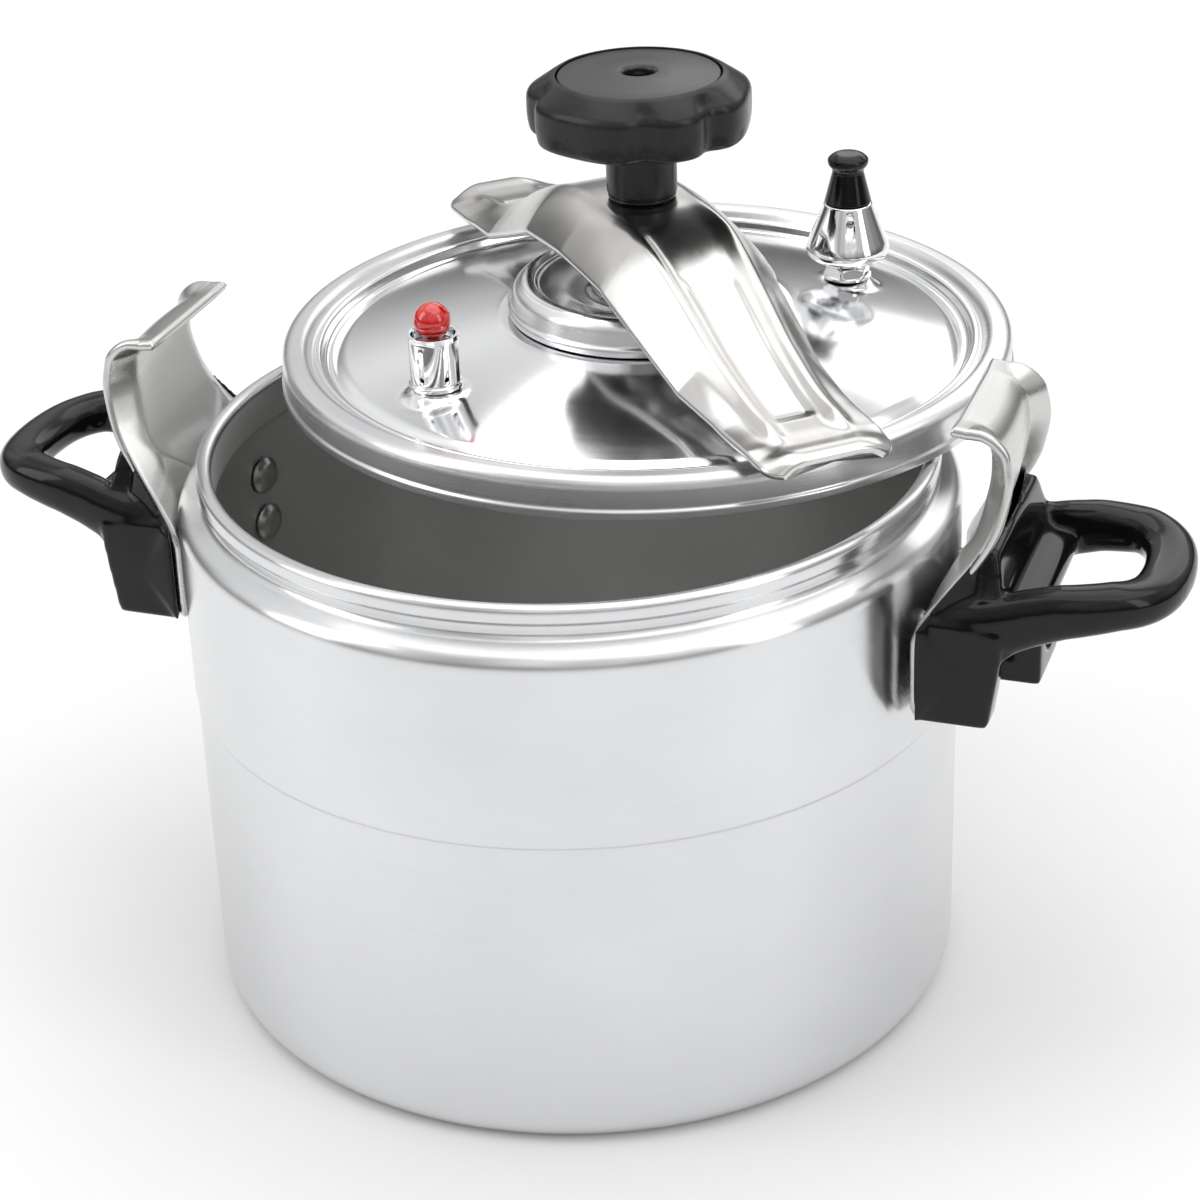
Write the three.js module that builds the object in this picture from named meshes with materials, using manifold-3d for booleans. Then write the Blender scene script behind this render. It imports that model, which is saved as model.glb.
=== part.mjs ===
// Stovetop pressure cooker with a bridge clamp, shown with its lid set back on the rim.
// Millimetres, +Z up. Origin: centre of the pot's flat base. +X points to the right-hand lug.
import * as THREE from 'three';
import { mergeVertices } from 'three/addons/utils/BufferGeometryUtils.js';
import Module from 'manifold-3d';

const wasm = await Module();
wasm.setup();

// ---- Driving dimensions -------------------------------------------------------------------------
const GAP = 0.3;                 // gap between neighbouring pieces that touch
const AROUND = 48;               // facets round the pot and the lid

const POT_R = 115;               // outer radius of the pot's wall
const POT_WALL = 2.6;            // wall thickness
const POT_FLOOR = 4;             // floor thickness
const POT_CORNER = 9;            // radius of the turns into the base and the shoulder
const STEP_Z = 99;               // height of the fine step round the wall
const SHOULDER_Z = 148;          // where the wall starts to turn in
const NECK_R = 107;              // outer radius of the neck under the rim
const RIM_TOP = 169.5;           // top of the rolled rim
const RIM_R = 108.8;             // outer radius of the rolled rim
const MOUTH_R = 104;             // radius of the mouth

const LID_X = 5.5;               // where the lid's axis stands
const LID_Y = 57.5;
const LID_Z = RIM_TOP + 9.5;     // height of the lid's widest circle
const LID_R = 111.5;
const LID_SHEET = 2.2;
const LID_BEAD = 5.2;            // radius of the lid's outer bead
const SKIRT_DROP = 9;            // skirt's lower edge below the widest circle
const BEAD_TOP = 3;              // top of the lid's outer bead
const DOME_R = 96;               // where the dome meets the channel
const DOME_Z = -1;
const SEAT_R = 44;               // flat seat in the middle of the dome
const SEAT_Z = 9;

const BOSS_R = 42;
const BOSS_H = 10.5;
const BOSS_POCKET_R = 13.4;
const BOSS_HOLE_R = 8.4;         // hole in the lid for the boss's threaded end
const SPINDLE_R = 6;

const BRIDGE_TURN = -47.3;       // bridge's angle from the line through the two lugs, degrees
const BRIDGE_REACH = 125;        // from the spindle to a tip
const BRIDGE_SHEET = 4;
const BRIDGE_TOP = 44.5;         // top of the bridge above the lid's widest circle
const BRIDGE_FLANGE = 3.4;       // thickness of the bridge's turned-down sides
const BUSH_NECK_R = 9;           // neck of the bush, in the bridge's middle hole

const KNOB_R = 33.8;
const KNOB_HOLLOWS = [50, 90, 170, 210, 290, 330];   // angles of the grip's hollows, degrees
const KNOB_HOLLOW = 3.4;         // depth of a hollow
const KNOB_HOLLOW_SPAN = 8;      // half of a hollow's angle
const KNOB_LOW = 65;
const KNOB_TOP = 83.5;
const STEM_R = 10.6;

const VENT_R = 69;               // radius and angle of the vent on the lid
const VENT_TURN = 42;
const SAFETY_R = 77;             // radius and angle of the safety valve on the lid
const SAFETY_TURN = -124.5;
const PAD_R = 9;                 // flat pads under both valves
const PAD_HALF = 2.2;            // how far a pad stands out of the sloping dome
const VALVE_HOLE_R = 4.5;        // holes in the lid for both valves

const LUG_SHEET = 3;
const LUG_FOOT_HALF = 36;        // half widths of a lug at its foot and at its lip
const LUG_LIP_HALF = 25.5;
const LUG_FOOT_Z = 111;
const LIP_X = 119;               // inner end of a lug's lip
const RIVET_R = 3;
const RIVET_TURN = 10.4;         // rivets' angle round the pot from a lug's middle, degrees
const RIVET_LOW = 118.2;
const RIVET_HIGH = 134.4;
const RIVET_HEAD_R = 5.8;

const HANDLE_REACH = 184;
const HANDLE_Z = 148.5;          // height of the loop where it leaves the wall
const HANDLE_TILT = 5;           // how far the loop slopes down outwards, degrees
const HANDLE_BEVEL = 3;
const HANDLE_HALF = 5.5;         // half of the loop's thickness
const STUD_Z = 128.5;            // height of the handle's fixing
const STUD_R = 3;
const SOCKET_X = 136;            // seat of the fixing's washer

// ---- Finishes -----------------------------------------------------------------------------------
function finish(color, roughness, metalness) {
  return new THREE.MeshStandardMaterial({ color, roughness, metalness });
}

const polishedAluminium = finish(0xd9dadc, 0.18, 1);
const pressedSteel = finish(0xb9b8b4, 0.32, 1);
const chrome = finish(0xe4e6e8, 0.08, 1);
const zincSteel = finish(0xa7aaad, 0.4, 1);
const blackResin = finish(0x17171a, 0.22, 0);
const redResin = finish(0xc4120f, 0.25, 0);
const greyRubber = finish(0x4b4d50, 0.8, 0);

// ---- Solids -------------------------------------------------------------------------------------
const rad = THREE.MathUtils.degToRad;
const v2 = (x, y) => new THREE.Vector2(x, y);

/** A closed three.js geometry as a solid that can be joined and cut. */
function solid(geometry) {
  const bare = geometry.clone();
  bare.deleteAttribute('normal');
  bare.deleteAttribute('uv');
  const merged = mergeVertices(bare, 1e-4);
  const index = merged.index.array;
  const faces = [];
  for (let i = 0; i < index.length; i += 3) {
    const [a, b, c] = [index[i], index[i + 1], index[i + 2]];
    if (a !== b && b !== c && c !== a) faces.push(a, b, c);
  }
  return new wasm.Manifold(new wasm.Mesh({
    numProp: 3,
    vertProperties: Float32Array.from(merged.attributes.position.array),
    triVerts: Uint32Array.from(faces),
  }));
}

/** A solid as a three.js geometry. */
function geometryOf(body) {
  const mesh = body.getMesh();
  const geometry = new THREE.BufferGeometry();
  geometry.setAttribute('position', new THREE.BufferAttribute(Float32Array.from(mesh.vertProperties), 3));
  geometry.setIndex(new THREE.BufferAttribute(Uint32Array.from(mesh.triVerts), 1));
  geometry.computeVertexNormals();
  return geometry;
}

/** A profile of [radius, height] points, listed up the outside and down the inside, turned about Z. */
function turned(profile, segments = 28) {
  const lathe = new THREE.LatheGeometry(profile.map(([r, z]) => v2(r, z)), segments);
  return solid(lathe.rotateX(Math.PI / 2));
}

/** A hollow profile closed on itself. */
const turnedRing = (profile, segments) => turned([...profile, profile[0]], segments);

/** A round bar between two heights, standing at x, y. */
function rod(radius, low, high, x = 0, y = 0, segments = 18) {
  const bar = turned([[0, low], [radius, low], [radius, high], [0, high]], segments);
  return bar.translate([x, y, 0]);
}

/** A round bar along X. */
const rodAlongX = (radius, x0, x1, y, z, segments = 12) =>
  rod(radius, x0, x1, 0, 0, segments).rotate([0, 90, 0]).translate([0, y, z]);

/** A hexagon nut with a bore. */
function nut(across, bore, low, high) {
  return rod(across / Math.sqrt(3), low, high, 0, 0, 6).subtract(rod(bore, low - 1, high + 1, 0, 0, 16));
}

/** A flat washer. */
const washer = (outer, bore, low, high) =>
  turnedRing([[bore, low], [outer, low], [outer, high], [bore, high]], 20);

/** A closed outline in X, Z carried along Y from -half to half. */
function slab(outline, half) {
  const shape = new THREE.Shape(outline.map(([x, z]) => v2(x, z)));
  const block = new THREE.ExtrudeGeometry(shape, { depth: 2 * half, bevelEnabled: false });
  return solid(block.rotateX(Math.PI / 2).translate(0, half, 0));
}

/** A bar along X between two planes, its half width given as [half, z] points from the foot up. */
function taper(sides, x0, x1) {
  const points = [...sides, ...sides.map(([half, z]) => [-half, z]).reverse()];
  const shape = new THREE.Shape(points.map(([y, z]) => v2(y, z)));
  const block = new THREE.ExtrudeGeometry(shape, { depth: x1 - x0, bevelEnabled: false });
  return solid(block.rotateX(Math.PI / 2).rotateZ(Math.PI / 2).translate(x0, 0, 0));
}

/** A closed outline in X, Y carried up from low to high. */
function plate(shape, low, high, bevel = 0, curveSegments = 6) {
  const block = new THREE.ExtrudeGeometry(shape, {
    depth: high - low - 2 * bevel,
    bevelEnabled: bevel > 0,
    bevelThickness: bevel,
    bevelSize: bevel,
    bevelOffset: -bevel,
    bevelSegments: 1,
    curveSegments,
  });
  return solid(block.translate(0, 0, low + bevel));
}

/** Points of an arc in a profile, from one angle to another, degrees. */
function arc(cx, cz, r, from, to, steps) {
  return Array.from({ length: steps + 1 }, (_, i) => {
    const a = rad(from + (to - from) * i / steps);
    return [cx + r * Math.cos(a), cz + r * Math.sin(a)];
  });
}

/** Points of a smooth curve through the given profile points. */
function smooth(points, count) {
  const curve = new THREE.SplineCurve(points.map(([x, z]) => v2(x, z)));
  return curve.getPoints(count).map((p) => [p.x, p.y]);
}

/** A profile moved sideways by a distance, to the left of its run. */
function offset(points, distance) {
  return points.map(([x, z], i) => {
    const [x0, z0] = points[Math.max(i - 1, 0)];
    const [x1, z1] = points[Math.min(i + 1, points.length - 1)];
    const length = Math.hypot(x1 - x0, z1 - z0);
    return [x - distance * (z1 - z0) / length, z + distance * (x1 - x0) / length];
  });
}

const root = new THREE.Group();

/** Adds one named piece to a group. */
function add(group, name, body, material) {
  const mesh = new THREE.Mesh(geometryOf(body), material.clone());
  mesh.name = name;
  group.add(mesh);
}

/** Adds a group at a place, turned about Z. */
function station(parent, x, y, z, turn = 0) {
  const group = new THREE.Group();
  group.position.set(x, y, z);
  group.rotation.z = rad(turn);
  parent.add(group);
  return group;
}

// ---- Pot ----------------------------------------------------------------------------------------
const SIDES = [['right', 0], ['left', 180]];
const RIVETS = [RIVET_LOW, RIVET_HIGH].flatMap((z) => [[-RIVET_TURN, z], [RIVET_TURN, z]]);

/** The rivets' holes through one side, or through both. */
function rivetHoles(turns) {
  const [inside, outside] = [POT_R - 12, POT_R + 8];
  const holes = turns.flatMap((turn) => RIVETS.map(([angle, z]) =>
    rodAlongX(RIVET_R + GAP, inside, outside, 0, z).rotate([0, 0, turn + angle])));
  return wasm.Manifold.union(holes);
}

function potBody() {
  const corner = POT_CORNER;
  const step = 0.5;
  const rimHalf = (RIM_R - MOUTH_R) / 2;
  const rimMid = MOUTH_R + rimHalf;
  const outside = [
    [0, 0], [POT_R - corner - step, 0],
    ...arc(POT_R - corner - step, corner, corner, -60, 0, 3),
    [POT_R - step, STEP_Z], [POT_R, STEP_Z + 0.8],
    ...arc(POT_R - corner, SHOULDER_Z, corner, 0, 68, 4),
    [NECK_R + 0.6, RIM_TOP - 8.5],
    ...arc(rimMid, RIM_TOP - rimHalf, rimHalf, -60, 180, 7),
  ];
  const inside = [
    [MOUTH_R, RIM_TOP - 10],
    ...arc(POT_R - corner - POT_WALL, SHOULDER_Z - 1, corner, 60, 0, 3),
    [POT_R - POT_WALL, POT_FLOOR + corner],
    ...arc(POT_R - POT_WALL - corner, POT_FLOOR + corner, corner, -30, -90, 2),
    [0, POT_FLOOR],
  ];
  return turned([...outside, ...inside], AROUND).subtract(rivetHoles([0, 180]));
}

// ---- Lugs: pressed sheet that clasps the wall, leans out and hooks in over the bridge's tips ------
const LUG_WEB = smooth([
  [116.9, LUG_FOOT_Z], [116.9, 136], [118.4, 145], [123, 156], [128, 167], [130.3, 178], [130.4, 185],
], 10);
const LUG_HOOK = [...arc(124, 186, 6.4, 0, 82, 4), [LIP_X - 3, 194]];
const LUG_FLANGE = smooth([
  [118.6, 140], [123, 148], [130, 159], [136, 171], [138, 182], [136.8, 190], [130.6, 193.4],
], 8);

function lugSolid() {
  const middle = [...LUG_WEB, ...LUG_HOOK];
  const half = LUG_SHEET / 2;
  const sheet = turnedRing([...offset(middle, -half), ...offset(middle, half).reverse()], AROUND);
  const inner = [...LUG_WEB.slice(4), ...LUG_HOOK.slice(0, 3)].reverse();
  const rib = turnedRing([...LUG_FLANGE, ...inner], AROUND);
  const outline = [
    [LUG_FOOT_HALF, LUG_FOOT_Z - 1], [LUG_FOOT_HALF, 140], [31, 162], [28, 178], [LUG_LIP_HALF, 200],
  ];
  const cutter = (inset) => {
    const scale = (LUG_LIP_HALF - inset) / LUG_LIP_HALF;
    return taper(outline, LIP_X - 19, LIP_X + 41).scale([1, scale, 1]);
  };
  const lip = solid(new THREE.BoxGeometry(40, 90, 30).translate(LIP_X - 20, 0, 195));
  const ribs = rib.intersect(cutter(0)).subtract(cutter(LUG_SHEET));
  return sheet.intersect(cutter(0)).add(ribs).subtract(lip).subtract(rivetHoles([0]));
}

function rivet(angle, z) {
  const inner = Math.sqrt((POT_R - POT_WALL) ** 2 - RIVET_HEAD_R ** 2) - GAP;
  const outer = POT_R + LUG_SHEET + GAP + 0.6;
  const profile = [
    [0, inner - 2.6], [3.2, inner - 2.1], [RIVET_HEAD_R, inner - 0.6], [RIVET_HEAD_R, inner],
    [RIVET_R, inner], [RIVET_R, outer], [4.6, outer], [4.3, outer + 1], [0, outer + 1.8],
  ];
  return turned(profile, 14).rotate([0, 90, 0]).translate([0, 0, z]).rotate([0, 0, angle]);
}

// ---- Handles: a loop, a foot with two legs and a screw boss -------------------------------------
/** Radius of a rising profile at a height. */
function radiusAt(profile, z) {
  const i = Math.min(Math.max(profile.findIndex((p) => p[1] >= z), 1), profile.length - 1);
  const [[r0, z0], [r1, z1]] = [profile[i - 1], profile[i]];
  return r0 + (r1 - r0) * Math.min(Math.max((z - z0) / (z1 - z0), 0), 1);
}

/** Everything inside the lug's outer face, which a handle keeps clear of. */
function lugEnvelope() {
  const clear = 0.9;
  const heights = [60, 100, 130, 135, 140, 145, 150, 155, 160, 165, 170, 180];
  const web = (z) => radiusAt(LUG_WEB, z) + LUG_SHEET * 0.62;
  const flange = (z) => (z > 138 ? radiusAt(LUG_FLANGE, z) : 0);
  const face = heights.map((z) => [Math.max(web(z), flange(z)) + clear, z]);
  return turned([[0, heights[0]], ...face, [0, heights[heights.length - 1]]], AROUND);
}

function loopShape() {
  const outer = new THREE.Shape();
  outer.moveTo(112, -37);
  outer.bezierCurveTo(135, -36, 140, -32, 158, -33);
  outer.bezierCurveTo(178, -34, HANDLE_REACH, -20, HANDLE_REACH, 0);
  outer.bezierCurveTo(HANDLE_REACH, 20, 178, 34, 158, 33);
  outer.bezierCurveTo(140, 32, 135, 36, 112, 37);
  outer.closePath();
  const hole = new THREE.Path();
  hole.moveTo(141, -14);
  hole.bezierCurveTo(141, -21, 148, -21, 156, -21);
  hole.bezierCurveTo(165, -21, 169, -12, 169, 0);
  hole.bezierCurveTo(169, 12, 165, 21, 156, 21);
  hole.bezierCurveTo(148, 21, 141, 21, 141, 14);
  hole.closePath();
  outer.holes.push(hole);
  return outer;
}

function handle() {
  const loop = plate(loopShape(), -HANDLE_HALF, HANDLE_HALF, HANDLE_BEVEL, 7);
  const rootX = 118;
  const tilted = loop.translate([-rootX, 0, 0]).rotate([0, HANDLE_TILT, 0])
    .translate([rootX, 0, HANDLE_Z]);
  const side = [[112, 134], [137, 134], [141, 142], [141, 150], [137, 156], [133, 161], [112, 161]];
  const back = slab(side, 36).intersect(taper([[35, 133], [34, 147], [27.5, 162]], 110, 145));
  const leg = slab([[112, 113], [134, 113], [135.5, 120], [137, 136], [137, 142], [112, 142]], 5);
  const boss = slab([[112, 114], [144, 114], [144, 142], [112, 142]], 13);
  const body = wasm.Manifold.union(
    [tilted, back, leg.translate([0, -32, 0]), leg.translate([0, 32, 0]), boss]);
  const [inside, outside] = [100, 150];
  const headRoom = 5.4;
  const cuts = [
    rodAlongX(7.4, SOCKET_X, outside, 0, STUD_Z, 16),
    rodAlongX(STUD_R + GAP, inside, outside, 0, STUD_Z, 16),
    rodAlongX(5.4, inside, 120.6, 0, STUD_Z),
    ...RIVETS.map(([angle, z]) => rodAlongX(headRoom, 110, 121.8, 0, z).rotate([0, 0, angle])),
  ];
  return body.subtract(wasm.Manifold.union(cuts)).subtract(lugEnvelope());
}

function addSide(side, turn) {
  const group = station(root, 0, 0, 0, turn);
  add(group, `lug_${side}`, lugSolid(), pressedSteel);
  RIVETS.forEach(([angle, z], i) =>
    add(group, `lug_rivet_${side}_${i + 1}`, rivet(angle, z), zincSteel));
  add(group, `handle_${side}`, handle(), blackResin);
  const start = POT_R + LUG_SHEET + 0.4 + GAP;
  const seat = SOCKET_X + GAP;
  const bore = STUD_R + GAP;
  const head = rodAlongX(5, start, start + 1.2, 0, STUD_Z);
  const stud = head.add(rodAlongX(STUD_R, start, SOCKET_X + 5.5, 0, STUD_Z));
  add(group, `handle_stud_${side}`, stud, zincSteel);
  const alongX = (body) => body.rotate([0, 90, 0]).translate([0, 0, STUD_Z]);
  add(group, `handle_washer_${side}`, alongX(washer(6.8, bore, seat, seat + 0.9)), zincSteel);
  add(group, `handle_nut_${side}`, alongX(nut(10, bore, seat + 1.2, seat + 5.7)), zincSteel);
}

// ---- Lid ----------------------------------------------------------------------------------------
const domeZ = (r) => SEAT_Z + (DOME_Z - SEAT_Z) * (r - SEAT_R) / (DOME_R - SEAT_R);
const onLid = (r, turn) => [r * Math.cos(rad(turn)), r * Math.sin(rad(turn))];

/** A flat pad pressed in the sloping dome, as wide above as below. */
function pad(r, turn) {
  const [x, y] = onLid(r, turn);
  return rod(PAD_R, domeZ(r) - LID_SHEET - PAD_HALF, domeZ(r) + PAD_HALF, x, y);
}

function lidShell() {
  const bead = LID_BEAD;
  const mid = LID_R - bead;
  const above = [
    [LID_R - LID_SHEET, -SKIRT_DROP], [LID_R + 0.3, -SKIRT_DROP], [LID_R + 0.3, -SKIRT_DROP + 2.4],
    [LID_R - 0.4, -SKIRT_DROP + 3],
    ...arc(mid, BEAD_TOP - bead, bead, 0, 110, 5),
    [102.4, 0.6], [101.4, 0.9], [100.4, 0.2], [DOME_R + 1.6, -2.6], [DOME_R - 0.6, DOME_Z - 0.6],
    [DOME_R - 3, DOME_Z + 0.4],
    [80, domeZ(80) + 0.4], [62, domeZ(62) + 0.4], [SEAT_R + 1.5, SEAT_Z], [0, SEAT_Z],
  ];
  const below = [
    [0, SEAT_Z - LID_SHEET], [SEAT_R, SEAT_Z - LID_SHEET],
    [62, domeZ(62) - LID_SHEET], [80, domeZ(80) - LID_SHEET],
    [DOME_R - 2, DOME_Z - LID_SHEET - 1.4], [DOME_R + 0.6, -2.6 - LID_SHEET],
    [100, -2 - LID_SHEET + 0.6],
    [101.6, -1.6], [104, BEAD_TOP - LID_SHEET - 0.4], [108, BEAD_TOP - LID_SHEET - 0.8],
    [LID_R - LID_SHEET, BEAD_TOP - bead - 0.6], [LID_R - LID_SHEET, -SKIRT_DROP],
  ];
  const [vx, vy] = onLid(VENT_R, VENT_TURN);
  const [sx, sy] = onLid(SAFETY_R, SAFETY_TURN);
  const holes = [
    rod(VALVE_HOLE_R, -12, 20, vx, vy), rod(VALVE_HOLE_R, -12, 20, sx, sy), rod(BOSS_HOLE_R, 0, 20),
  ];
  return turned([...below, ...above], AROUND)
    .add(pad(VENT_R, VENT_TURN)).add(pad(SAFETY_R, SAFETY_TURN))
    .subtract(wasm.Manifold.union(holes));
}

/** The rubber ring in the lid's channel, over the pot's rolled rim. */
const gasket = () => turnedRing([
  [102.3, -6.2], [108.4, -6.2], [108.4, -3], [106.6, -0.6], [104, -0.6], [102.3, -3],
], AROUND);

function bossSolid() {
  const low = SEAT_Z + GAP;
  const top = low + BOSS_H;
  return turned([
    [0, -2], [8, -2], [8, low], [BOSS_R, low], [BOSS_R, low + 2.2], [BOSS_R - 1.4, low + 3],
    [BOSS_R - 2.6, top - 1.6], [BOSS_R - 5, top], [BOSS_R - 8.5, top - 0.6], [BOSS_R - 20, top - 4.4],
    [BOSS_POCKET_R + 2.5, top - 4.6], [BOSS_POCKET_R, top - 3.6],
    [BOSS_POCKET_R, low + 1.6], [0, low + 1.6],
  ], 40);
}

/** Ring that keeps the spindle's foot in the boss. */
function footRing() {
  const low = SEAT_Z + GAP + 5;
  return washer(BOSS_POCKET_R - GAP, SPINDLE_R + 0.8, low, low + 2.2);
}

function addLid(lid) {
  add(lid, 'lid_shell', lidShell(), polishedAluminium);
  add(lid, 'lid_gasket', gasket(), greyRubber);
  add(lid, 'lid_boss', bossSolid(), polishedAluminium);
  add(lid, 'boss_foot_ring', footRing(), zincSteel);
  const under = SEAT_Z - LID_SHEET - GAP;
  const nutTop = under - 1.4 - GAP;
  add(lid, 'boss_washer', washer(15, BOSS_HOLE_R, under - 1.4, under), zincSteel);
  add(lid, 'boss_nut', nut(24, 8.3, nutTop - 6, nutTop), zincSteel);
}

// ---- Spindle and knob ---------------------------------------------------------------------------
function spindle() {
  const foot = SEAT_Z + GAP + 1.6 + GAP;
  return turned([
    [0, foot], [9, foot], [9.6, foot + 0.6], [9.6, foot + 2.6], [SPINDLE_R, foot + 2.6],
    [SPINDLE_R, KNOB_TOP - 9], [SPINDLE_R - 1, KNOB_TOP - 8], [0, KNOB_TOP - 8],
  ], 20);
}

/** The grip's outline: a circle with hollows between wide and narrow lobes. */
function lobedShape() {
  const [count, step] = [90, 4];
  const points = Array.from({ length: count }, (_, i) => {
    const turn = step * i;
    const near = Math.min(...KNOB_HOLLOWS.map((at) => Math.abs(turn - at)));
    const r = KNOB_R - KNOB_HOLLOW * Math.exp(-((near / KNOB_HOLLOW_SPAN) ** 2));
    return v2(r * Math.cos(rad(turn)), r * Math.sin(rad(turn)));
  });
  return new THREE.Shape(points);
}

function knob() {
  const grip = plate(lobedShape(), KNOB_LOW, KNOB_TOP - 4.5, 2.2, 1);
  const crown = turned([[0, KNOB_TOP - 6], [30, KNOB_TOP - 6], [29, KNOB_TOP - 2.4], [26, KNOB_TOP - 0.6],
    [25, KNOB_TOP - 0.4], [0, KNOB_TOP - 0.4]], 36);
  const stem = rod(STEM_R, BRIDGE_TOP + 0.5, KNOB_LOW + 4, 0, 0, 24);
  const recess = rod(24.6, KNOB_TOP - 3.4, KNOB_TOP + 5, 0, 0, 36);
  const bore = rod(SPINDLE_R + 0.3, 0, KNOB_TOP + 5, 0, 0, 20);
  return grip.add(crown).add(stem).subtract(recess).subtract(bore);
}

const knobCap = () => turnedRing([
  [4.7, KNOB_TOP - 3.1], [24.3, KNOB_TOP - 3.1], [24.3, KNOB_TOP - 0.6], [22, KNOB_TOP], [4.7, KNOB_TOP],
], 36);

// ---- Bridge -------------------------------------------------------------------------------------
/** Half of the bridge's upper outline, from the spindle out to a tip. */
const BRIDGE_ARM = smooth([
  [0, BRIDGE_TOP], [16, BRIDGE_TOP - 0.3], [32, 40.5], [52, 31], [72, 20.5], [92, 13.2],
  [108, 11], [118, 10.6], [BRIDGE_REACH, 11.6],
], 18);

/** Half of the flanges' lower outline. */
const BRIDGE_HEM = [
  [BRIDGE_REACH, 8], [112, 6.9], [96, 7.6], [72, 11], [48, 20.5], [28, 28], [0, 31],
];

const bothWays = (half) => [...half.slice(1).reverse().map(([x, z]) => [-x, z]), ...half];

function bridge() {
  const upper = bothWays(BRIDGE_ARM);
  const lower = bothWays([...BRIDGE_HEM].reverse()).reverse();
  const underside = offset(upper, -BRIDGE_SHEET);
  const plan = (inset) => {
    const [mid, end] = [28 - inset, 20 - inset];
    const shape = new THREE.Shape();
    const reach = BRIDGE_REACH + 1 + inset * 4;
    shape.moveTo(-reach, -end);
    shape.bezierCurveTo(-80, -end - 1, -50, -mid, 0, -mid);
    shape.bezierCurveTo(50, -mid, 80, -end - 1, reach, -end);
    shape.lineTo(reach, end);
    shape.bezierCurveTo(80, end + 1, 50, mid, 0, mid);
    shape.bezierCurveTo(-50, mid, -80, end + 1, -reach, end);
    return plate(shape, -10, 60, 0, 8);
  };
  const shell = slab([...upper, ...lower], 40).intersect(plan(0));
  const past = BRIDGE_REACH + 20;
  const hollow = slab([...underside, [past, -8], [-past, -8]], 40).intersect(plan(BRIDGE_FLANGE));
  return shell.subtract(hollow).subtract(rod(BUSH_NECK_R + GAP, 0, 60, 0, 0, 20));
}

/** Threaded bush that the spindle runs in; the bridge sits on its flange. */
function bridgeBush() {
  const seat = BRIDGE_TOP - BRIDGE_SHEET - 0.5;
  const bore = SPINDLE_R + GAP;
  return turnedRing([
    [bore, seat - 5], [13, seat - 5], [13, seat], [BUSH_NECK_R, seat], [BUSH_NECK_R, BRIDGE_TOP - 0.6],
    [bore, BRIDGE_TOP - 0.6],
  ], 20);
}

// ---- Vent, weight and safety valve --------------------------------------------------------------
const VENT_TOP = 24;             // top of the vent stem above the lid's widest circle
const WEIGHT_LOW = 12.5;         // underside of the weight

function addVent(lid) {
  const [x, y] = onLid(VENT_R, VENT_TURN);
  const at = station(lid, x, y, 0);
  const top = domeZ(VENT_R) + PAD_HALF + GAP;
  const under = domeZ(VENT_R) - LID_SHEET - PAD_HALF - GAP;
  const stem = rod(4, under - 9, top + 0.5, 0, 0, 20).add(rod(6.4, top, top + 3.6, 0, 0, 6))
    .add(rod(2.8, top + 2, VENT_TOP, 0, 0, 20)).subtract(rod(1.1, -30, 40, 0, 0, 12));
  add(at, 'vent_stem', stem, chrome);
  add(at, 'vent_seal', washer(8, 4.3, under - 1.6, under), greyRubber);
  add(at, 'vent_nut', nut(13, 4.3, under - 6.6, under - 1.9), zincSteel);
  return at;
}

function addWeight(at) {
  const z = WEIGHT_LOW;
  const cone = turned([
    [0, z], [10.4, z], [12.4, z + 1.6], [13, z + 3.6], [12.6, z + 5.4], [7.4, z + 18.4],
    [4.2, z + 18.4], [4.2, z + 21], [0, z + 21],
  ], 28);
  const bore = rod(3.3, z - 5, VENT_TOP + 1, 0, 0, 20);
  const lift = rodAlongX(1.3, -20, 20, 0, z + 14, 12);
  const cuts = [bore, lift.rotate([0, 0, -70]), lift.rotate([0, 0, 20])];
  add(at, 'weight_body', cone.subtract(wasm.Manifold.union(cuts)), chrome);
  const low = z + 18.7;
  const cap = turned([
    [4.6, low], [7.3, low], [4.6, low + 10.4], [4.6, low + 11], [6.1, low + 12.2],
    [6.3, low + 13.4], [5.4, low + 14.8], [0, low + 15.6], [0, low + 3], [4.6, low + 3], [4.6, low],
  ], 24);
  add(at, 'weight_cap', cap, blackResin);
}

function addSafety(lid) {
  const [x, y] = onLid(SAFETY_R, SAFETY_TURN);
  const at = station(lid, x, y, 0);
  const top = domeZ(SAFETY_R) + PAD_HALF + GAP;
  const under = domeZ(SAFETY_R) - LID_SHEET - PAD_HALF - GAP;
  const rim = top + 16.5;
  const holes = Array.from({ length: 6 }, (_, i) =>
    rodAlongX(0.9, 3, 10, 0, top + 4, 8).rotate([0, 0, 60 * i + 20]));
  const cup = turned([
    [0, under - 7], [4, under - 7], [4, top], [7.9, top], [7.9, top + 1.4], [7.4, top + 2],
    [7.4, rim - 1], [7.7, rim], [6.5, rim], [6.2, rim - 1], [6.2, top + 2.4], [0, top + 2.4],
  ], 24);
  const cuts = wasm.Manifold.union([...holes, rod(2.4, -30, 60, 0, 0, 16)]);
  add(at, 'safety_body', cup.subtract(cuts), chrome);
  add(at, 'safety_seal', washer(7.6, 4.3, under - 1.6, under), greyRubber);
  add(at, 'safety_nut', nut(12, 4.3, under - 6.2, under - 1.9), zincSteel);
  add(at, 'safety_ring', washer(5.9, 2.5, rim - 4.4, rim - 3.4), zincSteel);
  const ballZ = rim + 3.6;
  const pin = turned([
    [0, under - 5], [1.8, under - 5], [1.8, top + 2.8], [5, top + 2.8], [5, top + 4.2],
    [2, top + 4.2], [2, ballZ - 5.1], ...arc(0, ballZ, 5.5, -68, 90, 7),
  ], 20);
  add(at, 'safety_pin', pin, redResin);
  add(at, 'safety_spring', spring(top + 4.9, rim - 5.1), zincSteel);
}

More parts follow.
